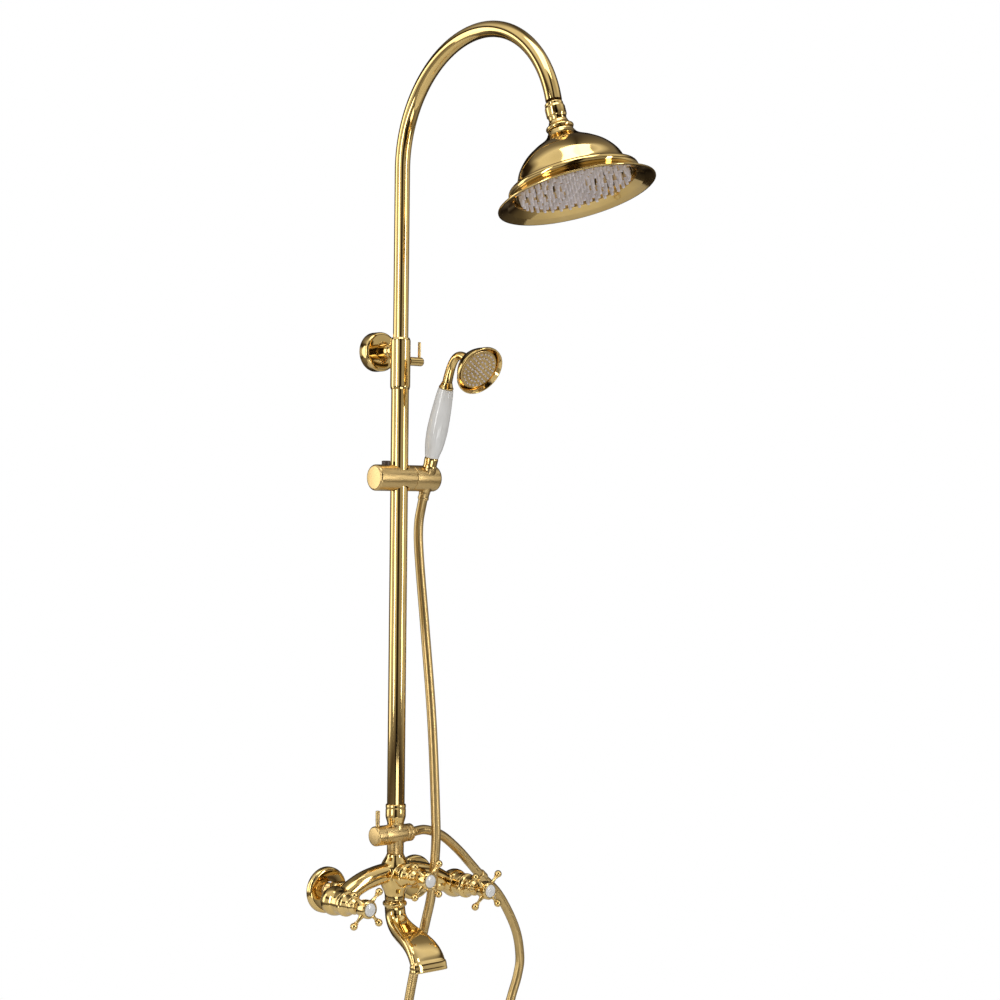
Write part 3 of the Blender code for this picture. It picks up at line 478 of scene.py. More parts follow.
def ease_edges(obj, width, segments=3):
    """Round the sharp edges."""
    mod = obj.modifiers.new("edges", "BEVEL")
    mod.width = width
    mod.segments = segments
    mod.limit_method = "ANGLE"
    mod.angle_limit = math.radians(40)
    return settle(obj)


def cast(obj, voxel, passes):
    """Melt overlapping shapes into one casting with soft fillets."""
    remesh = obj.modifiers.new("cast", "REMESH")
    remesh.mode = "VOXEL"
    remesh.voxel_size = voxel
    smooth = obj.modifiers.new("fillets", "SMOOTH")
    smooth.factor = 0.5
    smooth.iterations = passes
    return settle(obj)


def merge(obj, *others):
    """Put the others' meshes into the object's own."""
    bm = bmesh.new()
    for part in (obj, *others):
        bm.from_mesh(part.data)
    bm.to_mesh(obj.data)
    bm.free()
    for other in others:
        bpy.data.objects.remove(other, do_unlink=True)
    return obj


def finish_look(obj, slot, crease=38):
    """Material of a slot, smooth shading with creases."""
    obj.data.materials.clear()
    obj.data.materials.append(MATERIALS[slot])
    obj.data.shade_smooth()
    obj.data.set_sharp_from_angle(angle=math.radians(crease))
    return obj


def stand_for(obj, node, crease=38):
    """The fine piece takes a CAD node's place, finish and body."""
    finish_look(obj, SLOT_OF[node], crease)
    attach(obj, BODY_OF[node])
    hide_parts(node)
    return obj


def turned(node, profile, origin, axis, segments=72, closed=False, ease=0.0005):
    """Fine turned piece for a CAD node."""
    shape = rounded(profile, ease, closed) if ease else profile
    return stand_for(lathe(node + ".fine", shape, at(origin, axis), segments, closed), node)


# ---------------------------------------------------------------- hose
HOSE_ROUTE = [
    (0.0440, -0.0571, 0.5384), (0.0440, -0.0540, 0.5284), (0.0440, -0.0503, 0.5167),
    (0.0435, -0.0462, 0.4980), (0.0440, -0.0448, 0.4730), (0.0455, -0.0475, 0.4320),
    (0.0468, -0.0580, 0.3500), (0.0476, -0.0740, 0.2260), (0.0480, -0.0835, 0.1010),
    (0.0478, -0.0845, 0.0530), (0.0450, -0.0800, -0.0080), (0.0415, -0.0720, -0.0480),
    (0.0290, -0.0610, -0.1260), (0.0210, -0.0570, -0.1900), (0.0240, -0.0560, -0.2500),
    (0.0430, -0.0560, -0.3050), (0.0800, -0.0560, -0.3390), (0.1220, -0.0560, -0.3400),
    (0.1600, -0.0560, -0.3090), (0.1880, -0.0570, -0.2500), (0.2100, -0.0570, -0.1830),
    (0.2230, -0.0570, -0.1490), (0.2270, -0.0570, -0.1210), (0.2170, -0.0570, -0.0800),
    (0.1865, -0.0570, -0.0304), (0.1530, -0.0570, 0.0004), (0.1323, -0.0570, 0.0209),
    (0.1093, -0.0570, 0.0430), (0.0804, -0.0570, 0.0650), (0.0520, -0.0570, 0.0755),
    (0.0284, -0.0570, 0.0750),
]
HOSE_R = 0.0065
HOSE_PITCH = 0.0030          # one turn of the strip that the hose is wound from
HOSE_SEAM = 0.00014          # depth of the seam between two turns
RINGS_A_TURN = 5
HOSE_SIDES = 20
TOP_STRETCH = 0.038          # upper stretch of the hose, made as a piece of its own
SWAY = 0.535                 # length of hose over which the weights fade to nothing
JOINT_SPOT = Vector((0.153, RISER_Y, 0.0))


def even(points, step):
    """Points at an even spacing along a polyline."""
    lengths = [0.0]
    for p, q in zip(points, points[1:]):
        lengths.append(lengths[-1] + (q - p).length)
    count = round(lengths[-1] / step)
    out, j = [], 0
    for n in range(count + 1):
        want = lengths[-1] * n / count
        while j < len(points) - 2 and lengths[j + 1] < want:
            j += 1
        out.append(points[j].lerp(points[j + 1], (want - lengths[j]) / (lengths[j + 1] - lengths[j])))
    return out


def winding(first):
    """Radius of the wound hose at a ring and angle; first is the ring that the piece starts at."""
    def radius(i, angle):
        turn = ((i + first) / RINGS_A_TURN - angle / (2 * math.pi)) % 1.0
        return HOSE_R - HOSE_SEAM * max(0.0, math.cos(2 * math.pi * turn)) ** 3
    return radius


def follow(t, ease=0.12):
    """From 1 at t = 0 to 0 at t = 1, straight but for its eased ends."""
    t = min(1.0, max(0.0, t))
    span = 1.0 - ease
    if t < ease:
        return 1.0 - t * t / (2 * ease * span)
    if t > 1.0 - ease:
        return (1.0 - t) ** 2 / (2 * ease * span)
    return 1.0 - (t - ease / 2) / span


def hose():
    """The wound metal hose, its upper stretch, the crimp sleeve and the joint ring near the tee."""
    step = HOSE_PITCH / RINGS_A_TURN
    line = even(flowing(HOSE_ROUTE, 24), step)
    split = round(TOP_STRETCH / step)
    top = tube("hose_top", line[:split + 1], winding(0), HOSE_SIDES)
    finish_look(top, "hose", 80)
    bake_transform(top)
    main = tube("hose_main", line[split:], winding(split), HOSE_SIDES)
    finish_look(main, "hose", 80)
    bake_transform(main)
    # A share of the slider's travel for each vertex, fading from 1 to 0 along the first SWAY of hose
    reach = SWAY / step
    weights = []
    for i in range(len(line) - split):
        weights += [follow(i / reach)] * HOSE_SIDES
    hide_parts("shower_hose")
    sleeve = turned("hose_sleeve", [
        (HOSE_R + GAP, -0.0193), (0.0077, -0.0193), (0.0077, -0.0215), (0.0073, -0.0222), (0.0073, -0.0265),
        (0.0077, -0.0272), (0.0077, -0.0292), (0.0072, -0.0300), (HOSE_R + GAP, -0.0300)],
        HANDSET_BASE, HANDSET_AXIS, 48, True, 0.0003)
    i = min(range(len(line)), key=lambda n: (line[n] - JOINT_SPOT).length)
    way = (line[i + 2] - line[i - 2]).normalized()
    joint = lathe("hose_joint", rounded([
        (HOSE_R - 0.0004, -0.0060), (0.0076, -0.0060), (0.0082, -0.0045), (0.0082, 0.0045),
        (0.0076, 0.0060), (HOSE_R - 0.0004, 0.0060)], 0.0004, True), at(line[i], way), 48, True)
    finish_look(joint, "satin")
    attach(joint, "mixer")


# ---------------------------------------------------------------- mixer
def casting():
    """Mixer body: post, arched arms, valve balls with stepped barrels and inlet bosses, in one casting."""
    foot = Vector((0, RISER_Y, 0))
    post = lathe("mixer_body.fine", flowing([
        (0.0115, 0.0490), (0.0130, 0.0450), (0.0175, 0.0375), (0.0205, 0.0300), (0.0210, 0.0180),
        (0.0190, 0.0060), (0.0150, -0.0030), (0.0138, -0.0080), (0.0138, -0.0142)], 5), at(foot, UP), 96)
    ends = bmesh.new()
    ends.from_mesh(post.data)
    bmesh.ops.holes_fill(ends, edges=ends.edges)
    ends.to_mesh(post.data)
    ends.free()
    half = [(VALVE_X - 0.010, VALVE_Z), (0.080, 0.004), (0.066, 0.0115), (0.050, 0.0178), (0.030, 0.0222),
            (0.012, 0.0240)]
    route = [(x, RISER_Y, z) for x, z in half] + [(-x, RISER_Y, z) for x, z in reversed(half)]
    parts = [tube("arms", flowing(route, 8), 0.0135, 56)]
    for sign in (-1, 1):
        centre = Vector((sign * VALVE_X, VALVE_Y, VALVE_Z))
        parts.append(lathe("ball", arc((0, 0), 0.0195, 90, -90, 32), at(centre, TO_USER), 72))
        barrel = [(0.0, 0.0220), (0.0148, 0.0220), (0.0155, 0.0213), (0.0155, 0.006), (0.0, 0.006)]
        parts.append(lathe("barrel", barrel, at(centre, TO_USER), 72))
        boss = [(0.0, 0.0128)] + arc((0, 0), 0.0128, 80, 0, 10) + [(0.0128, -0.019), (0.0, -0.019)]
        parts.append(lathe("boss", boss, at((sign * INLET_X, RISER_Y, 0), TO_USER), 56))
    barrel = [(0.0, 0.0230), (0.0143, 0.0230), (0.0150, 0.0223), (0.0150, 0.004), (0.0, 0.004)]
    parts.append(lathe("barrel", barrel, at((0, RISER_Y, DIVERT_Z), TO_USER), 72))
    stand_for(cast(merge(post, *parts), 0.0008, 9), "mixer_body", 70)


def inlets():
    """Escutcheons, threaded unions and hexagon union nuts."""
    for side, sign in (("left", -1), ("right", 1)):
        origin = (sign * INLET_X, 0, 0)
        cup = [(0.0118, 0.0090)] + arc((0.026, 0.004), 0.005, 85, 0) + [(0.031, 0.0), (0.0292, 0.0)] + arc(
            (0.0255, 0.0035), 0.0037, 0, 85) + [(0.0118, 0.0072)]
        turned("inlet_flange_" + side, cup, origin, TO_USER, 96, True, 0.0004)
        thread = []
        for k in range(8):
            z = 0.0225 - 0.0017 * k
            thread += [(0.0105, z), (0.0099, z - 0.0008)]
        union = [(0.0065, 0.0365), (0.0122, 0.0365), (0.0122, 0.0330), (0.0105, 0.0330)] + thread + [
            (0.0105, 0.0080), (0.0105, 0.0005), (0.0065, 0.0005)]
        turned("inlet_union_" + side, union, origin, TO_USER, 64, True, 0.0)
        bore = lathe("bore", [
            (0.0, 0.0415), (0.0134, 0.0415), (0.0134, 0.0327), (0.0109, 0.0327), (0.0109, 0.0225),
            (0.0, 0.0225)], at(origin, TO_USER), 48)
        nut = lathe("union_nut_" + side + ".fine", [
            (0.0, 0.0395), (0.0155, 0.0395), (0.0170, 0.0385), (0.0170, 0.0255), (0.0155, 0.0245),
            (0.0, 0.0245)],
            at(origin, TO_USER), 6)
        stand_for(ease_edges(combine(nut, "DIFFERENCE", bore), 0.0004), "union_nut_" + side)


def handle(kind, origin):
    """Cross handle with a bell hub and four arms ending in balls, its stepped bonnet and index button."""
    centre = Vector(origin) + TO_USER * 0.0690
    rim = [(0.0, 0.0745), (0.0090, 0.0745), (0.0090, 0.0775), (0.0102, 0.0775)]
    bell = [tuple(p) for p in flowing([
        (0.0120, 0.0752), (0.0122, 0.0700), (0.0119, 0.0640), (0.0106, 0.0590), (0.0085, 0.0548),
        (0.0079, 0.0500)], 5)]
    skirt = [(0.0108, 0.0462), (0.0112, 0.0450), (0.0112, 0.0418)]
    bore = [(0.0040, 0.0418), (0.0040, 0.0660), (0.0, 0.0660)]
    outline = rounded(rim + bell + skirt + bore, 0.0004)
    hub = lathe("handle_" + kind + ".fine", outline, at(origin, TO_USER), 64)
    others = []
    for k in range(4):
        turn = math.radians(45 + 90 * k)
        way = Vector((math.cos(turn), 0, math.sin(turn)))
        arm = flowing([
            (0.0040, 0.0080), (0.0037, 0.0110), (0.0028, 0.0145), (0.0022, 0.0180), (0.0020, 0.0225)], 4)
        tip = arc((0.0, 0.0285), 0.0050, -66, 90, 14)
        collar = [(0.0030, 0.0226), (0.0033, 0.0233), (0.0030, 0.0240)]
        profile = [(0.0, 0.0080)] + [tuple(p) for p in arm] + collar + tip[:-1] + [(0.0, 0.0335)]
        others.append(lathe("arm%d" % k, profile, at(centre, way), 28))
    stand_for(combine(hub, "UNION", *others), "handle_" + kind, 40)
    turned("bonnet_" + kind, [
        (0.0104, 0.0413), (0.0112, 0.0403), (0.0115, 0.0370), (0.0123, 0.0335), (0.0137, 0.0305),
        (0.0150, 0.0290), (0.0162, 0.0283), (0.0165, 0.0276), (0.0165, 0.0232), (0.0098, 0.0232),
        (0.0085, 0.0345), (0.0085, 0.0413)],
        origin, TO_USER, 80, True, 0.0006)
    dome = [(0.0, 0.0790)] + [(0.0087 * math.sin(a), 0.0765 + 0.0025 * math.cos(a)) for a in (
        math.pi / 2 * k / 12 for k in range(1, 13))]
    turned("index_" + kind, dome + [(0.0087, 0.0749), (0.0, 0.0749)], origin, TO_USER, 56, False, 0.0)


# ---------------------------------------------------------------- spout
SPOUT_CURVE = ((0.0, -0.022), (0.0, -0.070), (0.067, -0.046), (0.0755, -0.0975))
SPOUT_NECK = 0.0138
SPOUT_LIP = (0.0272, 0.0078)
SPOUT_WALL = 0.0022
SPOUT_SIDES = 72


def spout_ring(t, extra):
    """Points of the spout's outline at t from 0, the neck, to 1, the lip."""
    p0, p1, p2, p3 = [Vector(p) for p in SPOUT_CURVE]
    q0, q1, q2 = p0.lerp(p1, t), p1.lerp(p2, t), p2.lerp(p3, t)
    r0, r1 = q0.lerp(q1, t), q1.lerp(q2, t)
    way = (r1 - r0).normalized()
    ease = t * t * (3 - 2 * t)
    wide, deep = [SPOUT_NECK + (lip - SPOUT_NECK) * ease + extra for lip in SPOUT_LIP]
    return spout_outline(r0.lerp(r1, t), wide, deep, math.atan2(way.x, -way.y), 2.0 + 1.8 * ease)


def spout_outline(point, wide, deep, pitch, squareness):
    """A rounded outline across X, tilted by pitch."""
    out = []
    for k in range(SPOUT_SIDES):
        a = 2 * math.pi * k / SPOUT_SIDES
        c, s = math.cos(a), math.sin(a)
        u = wide * math.copysign(abs(c) ** (2 / squareness), c)
        v = deep * math.copysign(abs(s) ** (2 / squareness), s)
        out.append(Vector((u, RISER_Y - point.x - v * math.cos(pitch), point.y + v * math.sin(pitch))))
    return out


def spout():
    """Swivel spout: beaded collar, bent neck widening to a flat mouth, moulded lip, hollow inside."""
    def ring(radius, height):
        return spout_outline(Vector((0.0, height)), radius, radius, 0.0, 2.0)
    rings = [ring(0.0136, -0.0145), ring(0.0138, -0.0148), ring(0.0140, -0.0155)]
    rings += [ring(0.0145 + 0.0020 * math.sin(a), -0.0187 + 0.0030 * math.cos(a)) for a in (
        math.pi * k / 10 for k in range(11))]
    rings += [ring(0.0140, -0.0222), ring(0.0138, -0.0227)]
    rings += [spout_ring(t / 60, 0.0) for t in range(6, 55)]
    rings += [spout_ring(t, extra) for t, extra in (
        (0.918, 0.0002), (0.924, 0.0009), (0.934, 0.0012), (0.962, 0.0012), (0.968, 0.0009),
        (0.972, 0.0009), (0.978, 0.0012), (0.992, 0.0012), (0.998, 0.0009), (1.0, 0.0003))]
    rings += [spout_ring(t, -SPOUT_WALL) for t in (1.0, 0.995)]
    rings += [spout_ring(1 - k / 24, -SPOUT_WALL) for k in range(1, 19)]
    rings += [ring(0.0103, -0.0380), ring(0.0103, -0.0145)]
    bm = bmesh.new()
    rows = [[bm.verts.new(p) for p in points] for points in rings]
    skin(bm, rows, True)
    stand_for(new_object("spout.fine", bm), "spout", 45)


# ---------------------------------------------------------------- tee, riser and bracket
def tee():
    """Tee body with its barrel, knob with its pin, and the hose's outlet nut."""
    centre = Vector((0, RISER_Y, TEE_Z))
    body = lathe("tee_body.fine", rounded([
        (0.0, 0.0970), (0.0100, 0.0970), (0.0100, 0.0880), (0.0115, 0.0880), (0.0115, 0.0493),
        (0.0, 0.0493)], 0.0004),
        at((0, RISER_Y, 0), UP), 72)
    barrel = lathe("barrel", rounded([
        (0.0, 0.0130), (0.0119, 0.0130), (0.0134, 0.0115), (0.0134, -0.0224), (0.0, -0.0224)], 0.0006),
        at(centre, ALONG_X), 80)
    spigot = [(0.0, 0.0255), (0.0080, 0.0255), (0.0080, 0.010), (0.0, 0.010)]
    spigot = lathe("spigot", spigot, at(centre, ALONG_X), 48)
    stand_for(combine(body, "UNION", barrel, spigot), "tee_body", 35)
    knob = [(0.0, -0.0105), (0.0038, -0.0105), (0.0038, -0.0227), (0.0128, -0.0227), (0.0134, -0.0232)]
    knob += arc((0.0104, -0.0340), 0.0030, 0, -90) + [(0.0, -0.0370)]
    stand_for(lathe("tee_knob.fine", knob, at(centre, ALONG_X), 80), "tee_knob")
    pin = [(0.0, 0.0340)] + arc((0.0016, 0.0326), 0.0014, 85, 0) + [
        (0.0029, 0.0200), (0.0027, 0.0150), (0.0030, 0.0130), (0.0030, 0.0083), (0.0, 0.0083)]
    turned("tee_pin", pin, centre + Vector((-0.0305, 0, 0)), UP, 40, False, 0.0)
    turned("hose_outlet_nut", [
        (0.0068, 0.0282), (0.0088, 0.0282), (0.0096, 0.0274), (0.0116, 0.0256), (0.0120, 0.0250),
        (0.0120, 0.0205), (0.0116, 0.0200), (0.0116, 0.0192), (0.0120, 0.0187), (0.0120, 0.0142),
        (0.0112, 0.0133), (0.0083, 0.0133), (0.0083, 0.0262), (0.0068, 0.0262)],
        centre, ALONG_X, 72, True, 0.0003)


def riser():
    """Coupling, lower tube, sleeve with its boss, wall bracket, and lock screw with its pin."""
    foot = Vector((0, RISER_Y, 0))
    turned("riser_coupling", [
        (0.0123, 0.1155), (0.0132, 0.1155), (0.0138, 0.1148), (0.0138, 0.1110), (0.0134, 0.1104),
        (0.0134, 0.1094), (0.0138, 0.1088), (0.0138, 0.0990), (0.0128, 0.0950), (0.0116, 0.0910),
        (0.0113, 0.0884), (0.0103, 0.0884), (0.0103, 0.0973), (0.0123, 0.0985)], foot, UP, 80, True, 0.0004)
    turned("riser_lower_tube", [(0.0120, 0.7050), (0.0120, 0.0990), (0.0110, 0.0990), (0.0110, 0.7050)],
           foot, UP, 80, True, 0.0002)
    sleeve = lathe("riser_sleeve.fine", rounded([
        (0.0107, 0.7470), (0.0120, 0.7470), (0.0134, 0.7440), (0.0136, 0.7420), (0.0136, 0.6815),
        (0.0134, 0.6800), (0.0126, 0.6770), (0.0123, 0.6770), (0.0123, 0.7053), (0.0107, 0.7053)],
        0.0005, True), at(foot, UP), 88, True)
    boss = rounded([(0.0, -0.0115), (0.0100, -0.0115), (0.0100, -0.0185), (0.0, -0.0185)], 0.0005)
    boss = lathe("boss", boss, at(foot + UP * BRACKET_Z, TO_USER), 64)
    stand_for(combine(sleeve, "UNION", boss), "riser_sleeve", 35)
    wall = Vector((0, 0, BRACKET_Z))
    stem = [(0.0, 0.0382), (0.0094, 0.0382), (0.0098, 0.0378), (0.0098, 0.0195), (0.0098, 0.0046),
            (0.0, 0.0046)]
    turned("bracket_stem", stem, wall, TO_USER, 64)
    cup = [(0.0102, 0.0170)] + arc((0.0230, 0.0130), 0.0040, 88, 0) + [(0.0270, 0.0), (0.0252, 0.0)] + arc(
        (0.0225, 0.0125), 0.0027, 0, 88) + [(0.0102, 0.0152)]
    turned("bracket_flange", cup, wall, TO_USER, 96, True, 0.0003)
    lock = lathe("lock_screw.fine", [(0.0, 0.0375)] + arc((0.0035, 0.0350), 0.0025, 88, 0) + [
        (0.0060, 0.0143), (0.0030, 0.0143), (0.0030, 0.0112), (0.0, 0.0112)],
        at(foot + UP * LOCK_Z, ALONG_X), 48)
    pin = [(0.0, 0.0270)] + arc((0.0010, 0.0260), 0.0010, 85, 0, 5) + [(0.0020, 0.0020), (0.0, 0.0020)]
    pin = lathe("pin", pin, at(foot + Vector((0.0325, 0, LOCK_Z)), UP), 32)
    stand_for(combine(lock, "UNION", pin), "lock_screw", 35)


ARC_BASE = 0.974             # where the gooseneck leaves the vertical
ARC_REAR_R = 0.1615
ARC_FRONT_R = 0.1464
ARC_FRONT_SWEEP = math.radians(76.0)
ARM_AXIS = Vector((0, -math.cos(ARC_FRONT_SWEEP), -math.sin(ARC_FRONT_SWEEP)))
BALL_DROP = 0.0125


def gooseneck():
    """Route of the arm: up the riser, over the rear and front arcs, and down to the ball joint."""
    points = [Vector((0, RISER_Y, 0.575 + 0.379 * k / 12)) for k in range(13)]
    for i in range(49):
        a = math.pi / 2 * i / 48
        points.append(Vector((0, RISER_Y - ARC_REAR_R * (1 - math.cos(a)),
                              ARC_BASE + ARC_REAR_R * math.sin(a))))
    for i in range(1, 41):
        a = ARC_FRONT_SWEEP * i / 40
        points.append(Vector((0, RISER_Y - ARC_REAR_R - ARC_FRONT_R * math.sin(a),
                              ARC_BASE + ARC_REAR_R - ARC_FRONT_R * (1 - math.cos(a)))))
    return points


def arm():
    """The bent upper tube."""
    stand_for(tube("riser_arm.fine", gooseneck(), 0.0104, 64), "riser_arm", 60)


# ---------------------------------------------------------------- rain head
ARM_END = gooseneck()[-1]
HEAD_AXIS = Vector((0.085, -0.275, -0.958)).normalized()
BALL_CENTRE = ARM_END + ARM_AXIS * BALL_DROP


def hung(node, profile, segments=96, closed=False, ease=0.0005, axis=HEAD_AXIS):
    """Turned piece of the head, heights measured from the arm's end along the axis."""
    low = [(r, z - BALL_DROP) for r, z in profile]
    return turned(node, low, BALL_CENTRE, axis, segments, closed, ease)


def nozzle_field(name, rings, pitch, base, tip, low, high, matrix, sides):
    """Round-ended nozzles on rings, six more on each ring; each has a swelling foot and a small mouth."""
    bm = bmesh.new()
    turn = [2 * math.pi * j / sides for j in range(sides)]
    circle = [(math.cos(a), math.sin(a)) for a in turn]
    height = high - low
    shape = [(base * 1.25, low), (base * 1.02, low + height * 0.10), (base * 0.92, low + height * 0.30),
             (tip * 1.06, low + height * 0.85), (tip * 0.92, high - height * 0.05), (tip * 0.68, high),
             (tip * 0.35, high), (tip * 0.30, high - height * 0.12), (0.0, high - height * 0.12)]
    for row in range(rings):
        count = max(1, 6 * row)
        for k in range(count):
            a = 2 * math.pi * (k + 0.5 * (row % 2)) / count
            spot = Vector((pitch * row * math.cos(a), pitch * row * math.sin(a), 0))
            rows = [[bm.verts.new(matrix @ (spot + Vector((0, 0, low - height * 0.05))))]]
            for r, z in shape[:-1]:
                ring = [spot + Vector((r * c, r * s, z)) for c, s in circle]
                rows.append([bm.verts.new(matrix @ p) for p in ring])
            rows.append([bm.verts.new(matrix @ (spot + Vector((0, 0, shape[-1][1]))))])
            skin(bm, rows, False)
    return new_object(name, bm)


def rain_head():
    """Ball, nut, collar, bell with its bead and flared skirt, spray plate and silicone nozzles."""
    ball = [(0.0, -0.0080), (0.0072, -0.0080), (0.0072, 0.0003), (0.0098, 0.0003), (0.0045, 0.0012)] + arc(
        (0.0, BALL_DROP), 0.0080, -55, 90, 24)
    hung("swivel_ball", ball, 48, False, 0.0, ARM_AXIS)
    hung("swivel_nut", [
        (0.0076, 0.0032), (0.0108, 0.0032), (0.0116, 0.0042), (0.0117, 0.0075), (0.0128, 0.0100),
        (0.0128, 0.0205), (0.0114, 0.0225), (0.0112, 0.0268), (0.0100, 0.0268), (0.0100, 0.0160),
        (0.0084, 0.0078)], 96, True, 0.0008)
    hung("head_collar", [
        (0.0040, 0.0228), (0.0097, 0.0228), (0.0097, 0.0271), (0.0118, 0.0271), (0.0124, 0.0295),
        (0.0140, 0.0322), (0.0172, 0.0345), (0.0178, 0.0364), (0.0165, 0.0388), (0.0080, 0.0388),
        (0.0080, 0.0560), (0.0040, 0.0560)],
        96, True, 0.0009)
    dome = [tuple(p) for p in flowing([
        (0.0165, 0.0420), (0.0205, 0.0480), (0.0280, 0.0535), (0.0395, 0.0600), (0.0530, 0.0700),
        (0.0635, 0.0830), (0.0690, 0.0960), (0.0722, 0.1020)], 6)]
    bead = arc((0.0768, 0.1083), 0.0058, -72, 66, 14)
    skirt = [tuple(p) for p in flowing([
        (0.0822, 0.1168), (0.0850, 0.1192), (0.0890, 0.1213), (0.0945, 0.1229), (0.0985, 0.1239)], 4)]
    rim = [(0.1000, 0.1244), (0.1000, 0.1256), (0.0992, 0.1262), (0.0975, 0.1262)]
    inner = [(0.0870, 0.1228), (0.0772, 0.1165), (0.0769, 0.1072), (0.0700, 0.1042), (0.0668, 0.0960),
             (0.0608, 0.0842), (0.0510, 0.0728), (0.0370, 0.0630), (0.0180, 0.0530), (0.0086, 0.0480)]
    neck = [(0.0086, 0.0395), (0.0150, 0.0395), (0.0160, 0.0403)]
    hung("rain_bell", neck + dome + bead + skirt + rim + inner, 160, True, 0.0003)
    plate = [(0.0, 0.1080), (0.0752, 0.1080), (0.0764, 0.1092), (0.0764, 0.1115), (0.0752, 0.1125),
             (0.0735, 0.1125), (0.0731, 0.1121), (0.0, 0.1121)]
    hung("spray_plate", plate, 128, False, 0.0002)
    low = at(BALL_CENTRE, HEAD_AXIS) @ Matrix.Translation((0, 0, -BALL_DROP))
    field = nozzle_field("rain_nozzles.fine", 7, 0.0113, 0.0025, 0.0018, 0.1124, 0.1215, low, 18)
    stand_for(field, "rain_nozzles", 50)


# ---------------------------------------------------------------- slider and hand shower
FACE_DIP = math.radians(32.0)
FACE_NORMAL = Vector((0, -math.cos(FACE_DIP), -math.sin(FACE_DIP)))
FACE_CENTRE = Vector((HANDSET_X, -0.173, 0.699))


def slider():
    """Slider barrel with its bore and button, and the tilting holder with its cone seat."""
    centre = Vector((0, RISER_Y, SLIDER_Z))
    barrel = rounded([(0.0, 0.0190), (0.01715, 0.0190), (0.01775, 0.0184)], 0.0003)
    barrel += arc((0.01425, -0.0395), 0.0035, 0, -88, 10) + [(0.0, -0.0430)]
    body = lathe("slider_body.fine", barrel, at(centre, ALONG_X), 96)
    bore = [(0.0, 0.025), (0.0142, 0.025), (0.0142, -0.025), (0.0, -0.025)]
    bore = lathe("bore", bore, at(centre, UP), 64)
    well = lathe("well", [(0.0, 0.0240), (0.0065, 0.0240), (0.0065, 0.0020), (0.0, 0.0020)],
                 at(centre + Vector((-0.0225, 0, 0)), UP), 48)
    pivot = [(0.0, 0.022), (0.0078, 0.022), (0.0078, 0.0156), (0.0, 0.0156)]
    pivot = lathe("pivot", pivot, at(centre, ALONG_X), 48)
    stand_for(combine(body, "DIFFERENCE", bore, well, pivot), "slider_body", 35)
    button = [(0.0, 0.0228), (0.0030, 0.0230)] + arc((0.0045, 0.0215), 0.0015, 88, 0) + [
        (0.0060, 0.0070), (0.0, 0.0070)]
    turned("slider_button", button, centre + Vector((-0.0225, 0, 0)), UP, 48, False, 0.0)
    holder = lathe("handset_holder.fine", rounded([
        (0.0, 0.0630), (0.01275, 0.0630), (0.01500, 0.0622), (0.01690, 0.0602), (0.01775, 0.0580),
        (0.01775, 0.0199), (0.01715, 0.0193), (0.0070, 0.0193), (0.0070, 0.0160), (0.0, 0.0160)], 0.0004),
        at(centre, ALONG_X), 96)
    seat = lathe("seat", [(0.0, 0.0300), (0.0103, 0.0300), (0.0085, -0.0300), (0.0, -0.0300)],
                 at(HANDSET_BASE, HANDSET_AXIS), 64)
    stand_for(combine(holder, "DIFFERENCE", seat), "handset_holder", 35)


def on_handset(node, profile, segments=72, closed=False, ease=0.0005):
    """Turned piece on the handset's axis, heights measured from the holder's centre."""
    return turned(node, profile, HANDSET_BASE, HANDSET_AXIS, segments, closed, ease)


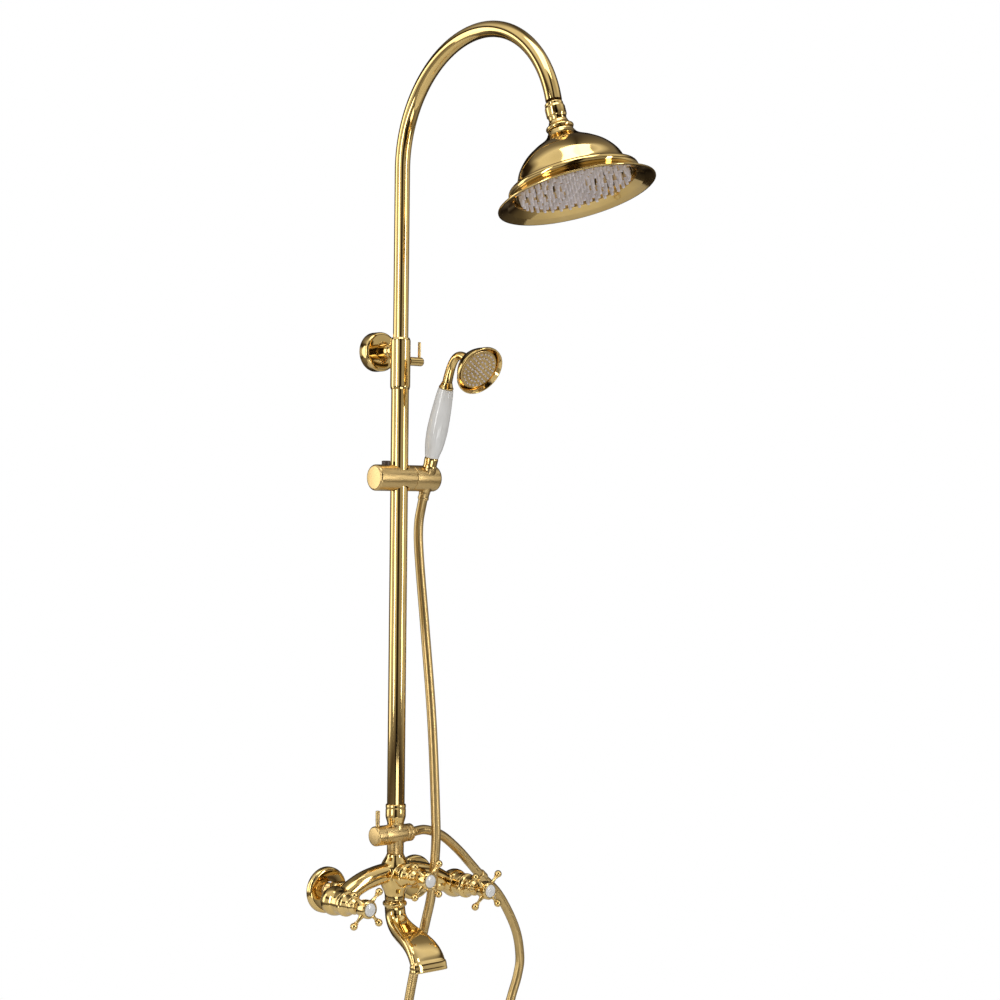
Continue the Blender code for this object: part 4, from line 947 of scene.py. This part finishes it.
def handset():
    """Cone nut, ferrules, porcelain handle, bent neck and bell head, spray face and its nozzles."""
    on_handset("hose_cone_nut", [
        (0.0094, 0.0160), (0.0082, -0.0183), (0.0074, -0.0190), (0.0050, -0.0190), (0.0050, 0.0160)],
        64, True)
    on_handset("handset_ferrule", [
        (0.0, 0.0300), (0.0088, 0.0300), (0.0096, 0.0280), (0.0092, 0.0190), (0.0098, 0.0163),
        (0.0048, 0.0163), (0.0048, 0.0080), (0.0, 0.0080)])
    grip = [tuple(p) for p in flowing([
        (0.0104, 0.1262), (0.0112, 0.1200), (0.0119, 0.1130), (0.0134, 0.0930), (0.0142, 0.0730),
        (0.0139, 0.0600), (0.0126, 0.0460), (0.0104, 0.0350), (0.0094, 0.0303)], 6)]
    grip = [(0.0, 0.1270), (0.0092, 0.1270)] + grip + [(0.0, 0.0303)]
    on_handset("handset_handle", grip, 80, False, 0.0006)
    on_handset("handset_collar", [
        (0.0, 0.1365), (0.0072, 0.1365), (0.0077, 0.1345), (0.0088, 0.1312), (0.0100, 0.1292),
        (0.0102, 0.1280), (0.0098, 0.1273), (0.0, 0.1273)], 72, False, 0.0009)
    start = HANDSET_BASE + HANDSET_AXIS * 0.1370
    back = FACE_CENTRE - FACE_NORMAL * 0.0270
    ends = [start, start + HANDSET_AXIS * 0.040, back - FACE_NORMAL * 0.026, back]
    route = []
    for i in range(41):
        t = i / 40
        shares = ((1 - t) ** 3, 3 * t * (1 - t) ** 2, 3 * t * t * (1 - t), t ** 3)
        route.append(sum((p * share for p, share in zip(ends, shares)), Vector()))
    route.append(back + FACE_NORMAL * 0.003)

    def waist(i, angle):
        return 0.0068 * (1 - 0.15 * math.sin(math.pi * min(1.0, i / 41)))

    neck = tube("handset_head.fine", route, waist, 40)
    dome = [tuple(p) for p in flowing([
        (0.0080, -0.0280), (0.0150, -0.0255), (0.0225, -0.0205), (0.0285, -0.0130), (0.0318, -0.0070),
        (0.0335, -0.0045)], 5)]
    rim = [(0.0350, -0.0030), (0.0350, -0.0003), (0.0346, 0.0), (0.0334, 0.0)]
    bell = [(0.0, -0.0285)] + dome + rim + [(0.0300, -0.0070), (0.0240, -0.0165), (0.0, -0.0205)]
    combine(neck, "UNION", lathe("bell", rounded(bell, 0.0004), at(FACE_CENTRE, FACE_NORMAL), 96))
    stand_for(neck, "handset_head", 35)
    face = [(0.0, -0.0046), (0.0060, -0.0046), (0.0064, -0.0042), (0.0262, -0.0042), (0.0268, -0.0040),
            (0.0280, -0.0044), (0.0280, -0.0058), (0.0262, -0.0085), (0.0, -0.0085)]
    turned("handset_face", face, FACE_CENTRE, FACE_NORMAL, 96, False, 0.0002)
    field = nozzle_field("handset_nozzles.fine", 5, 0.0058, 0.0012, 0.0009, -0.0046, -0.0016,
                         at(FACE_CENTRE, FACE_NORMAL), 14)
    stand_for(field, "handset_nozzles", 50)


# ---------------------------------------------------------------- the rest
def floor():
    """A plain pale disc under the column, out of the photograph's view."""
    rim = [(0.0, 0.0), (FLOOR_R - 0.05, 0.0), (FLOOR_R, -0.010), (FLOOR_R, -0.030), (0.0, -0.030)]
    disc = lathe("floor", rim, Matrix.Translation((0, 0, FLOOR_Z)), 128)
    paint = plain("floor_paint", (0.80, 0.80, 0.79), (0.86, 0.86, 0.85), 0.55, 6.0, 0.0001)
    disc.data.materials.append(paint)
    disc.data.shade_smooth()
    disc.data.set_sharp_from_angle(angle=math.radians(30))


def dress_cad():
    """The CAD nodes that stay, such as cartridges and spindles, take the procedural materials too."""
    for name, node in frame["nodes"].items():
        node.data.materials.clear()
        node.data.materials.append(MATERIALS[SLOT_OF[name]])


camera()
hose()
world()
lights()
floor()
dress_cad()
casting()
inlets()
handle("hot", (-VALVE_X, VALVE_Y, VALVE_Z))
handle("cold", (VALVE_X, VALVE_Y, VALVE_Z))
handle("divert", (0, RISER_Y, DIVERT_Z))
spout()
tee()
riser()
arm()
rain_head()
slider()
handset()
bpy.context.scene.view_settings.view_transform = "Standard"
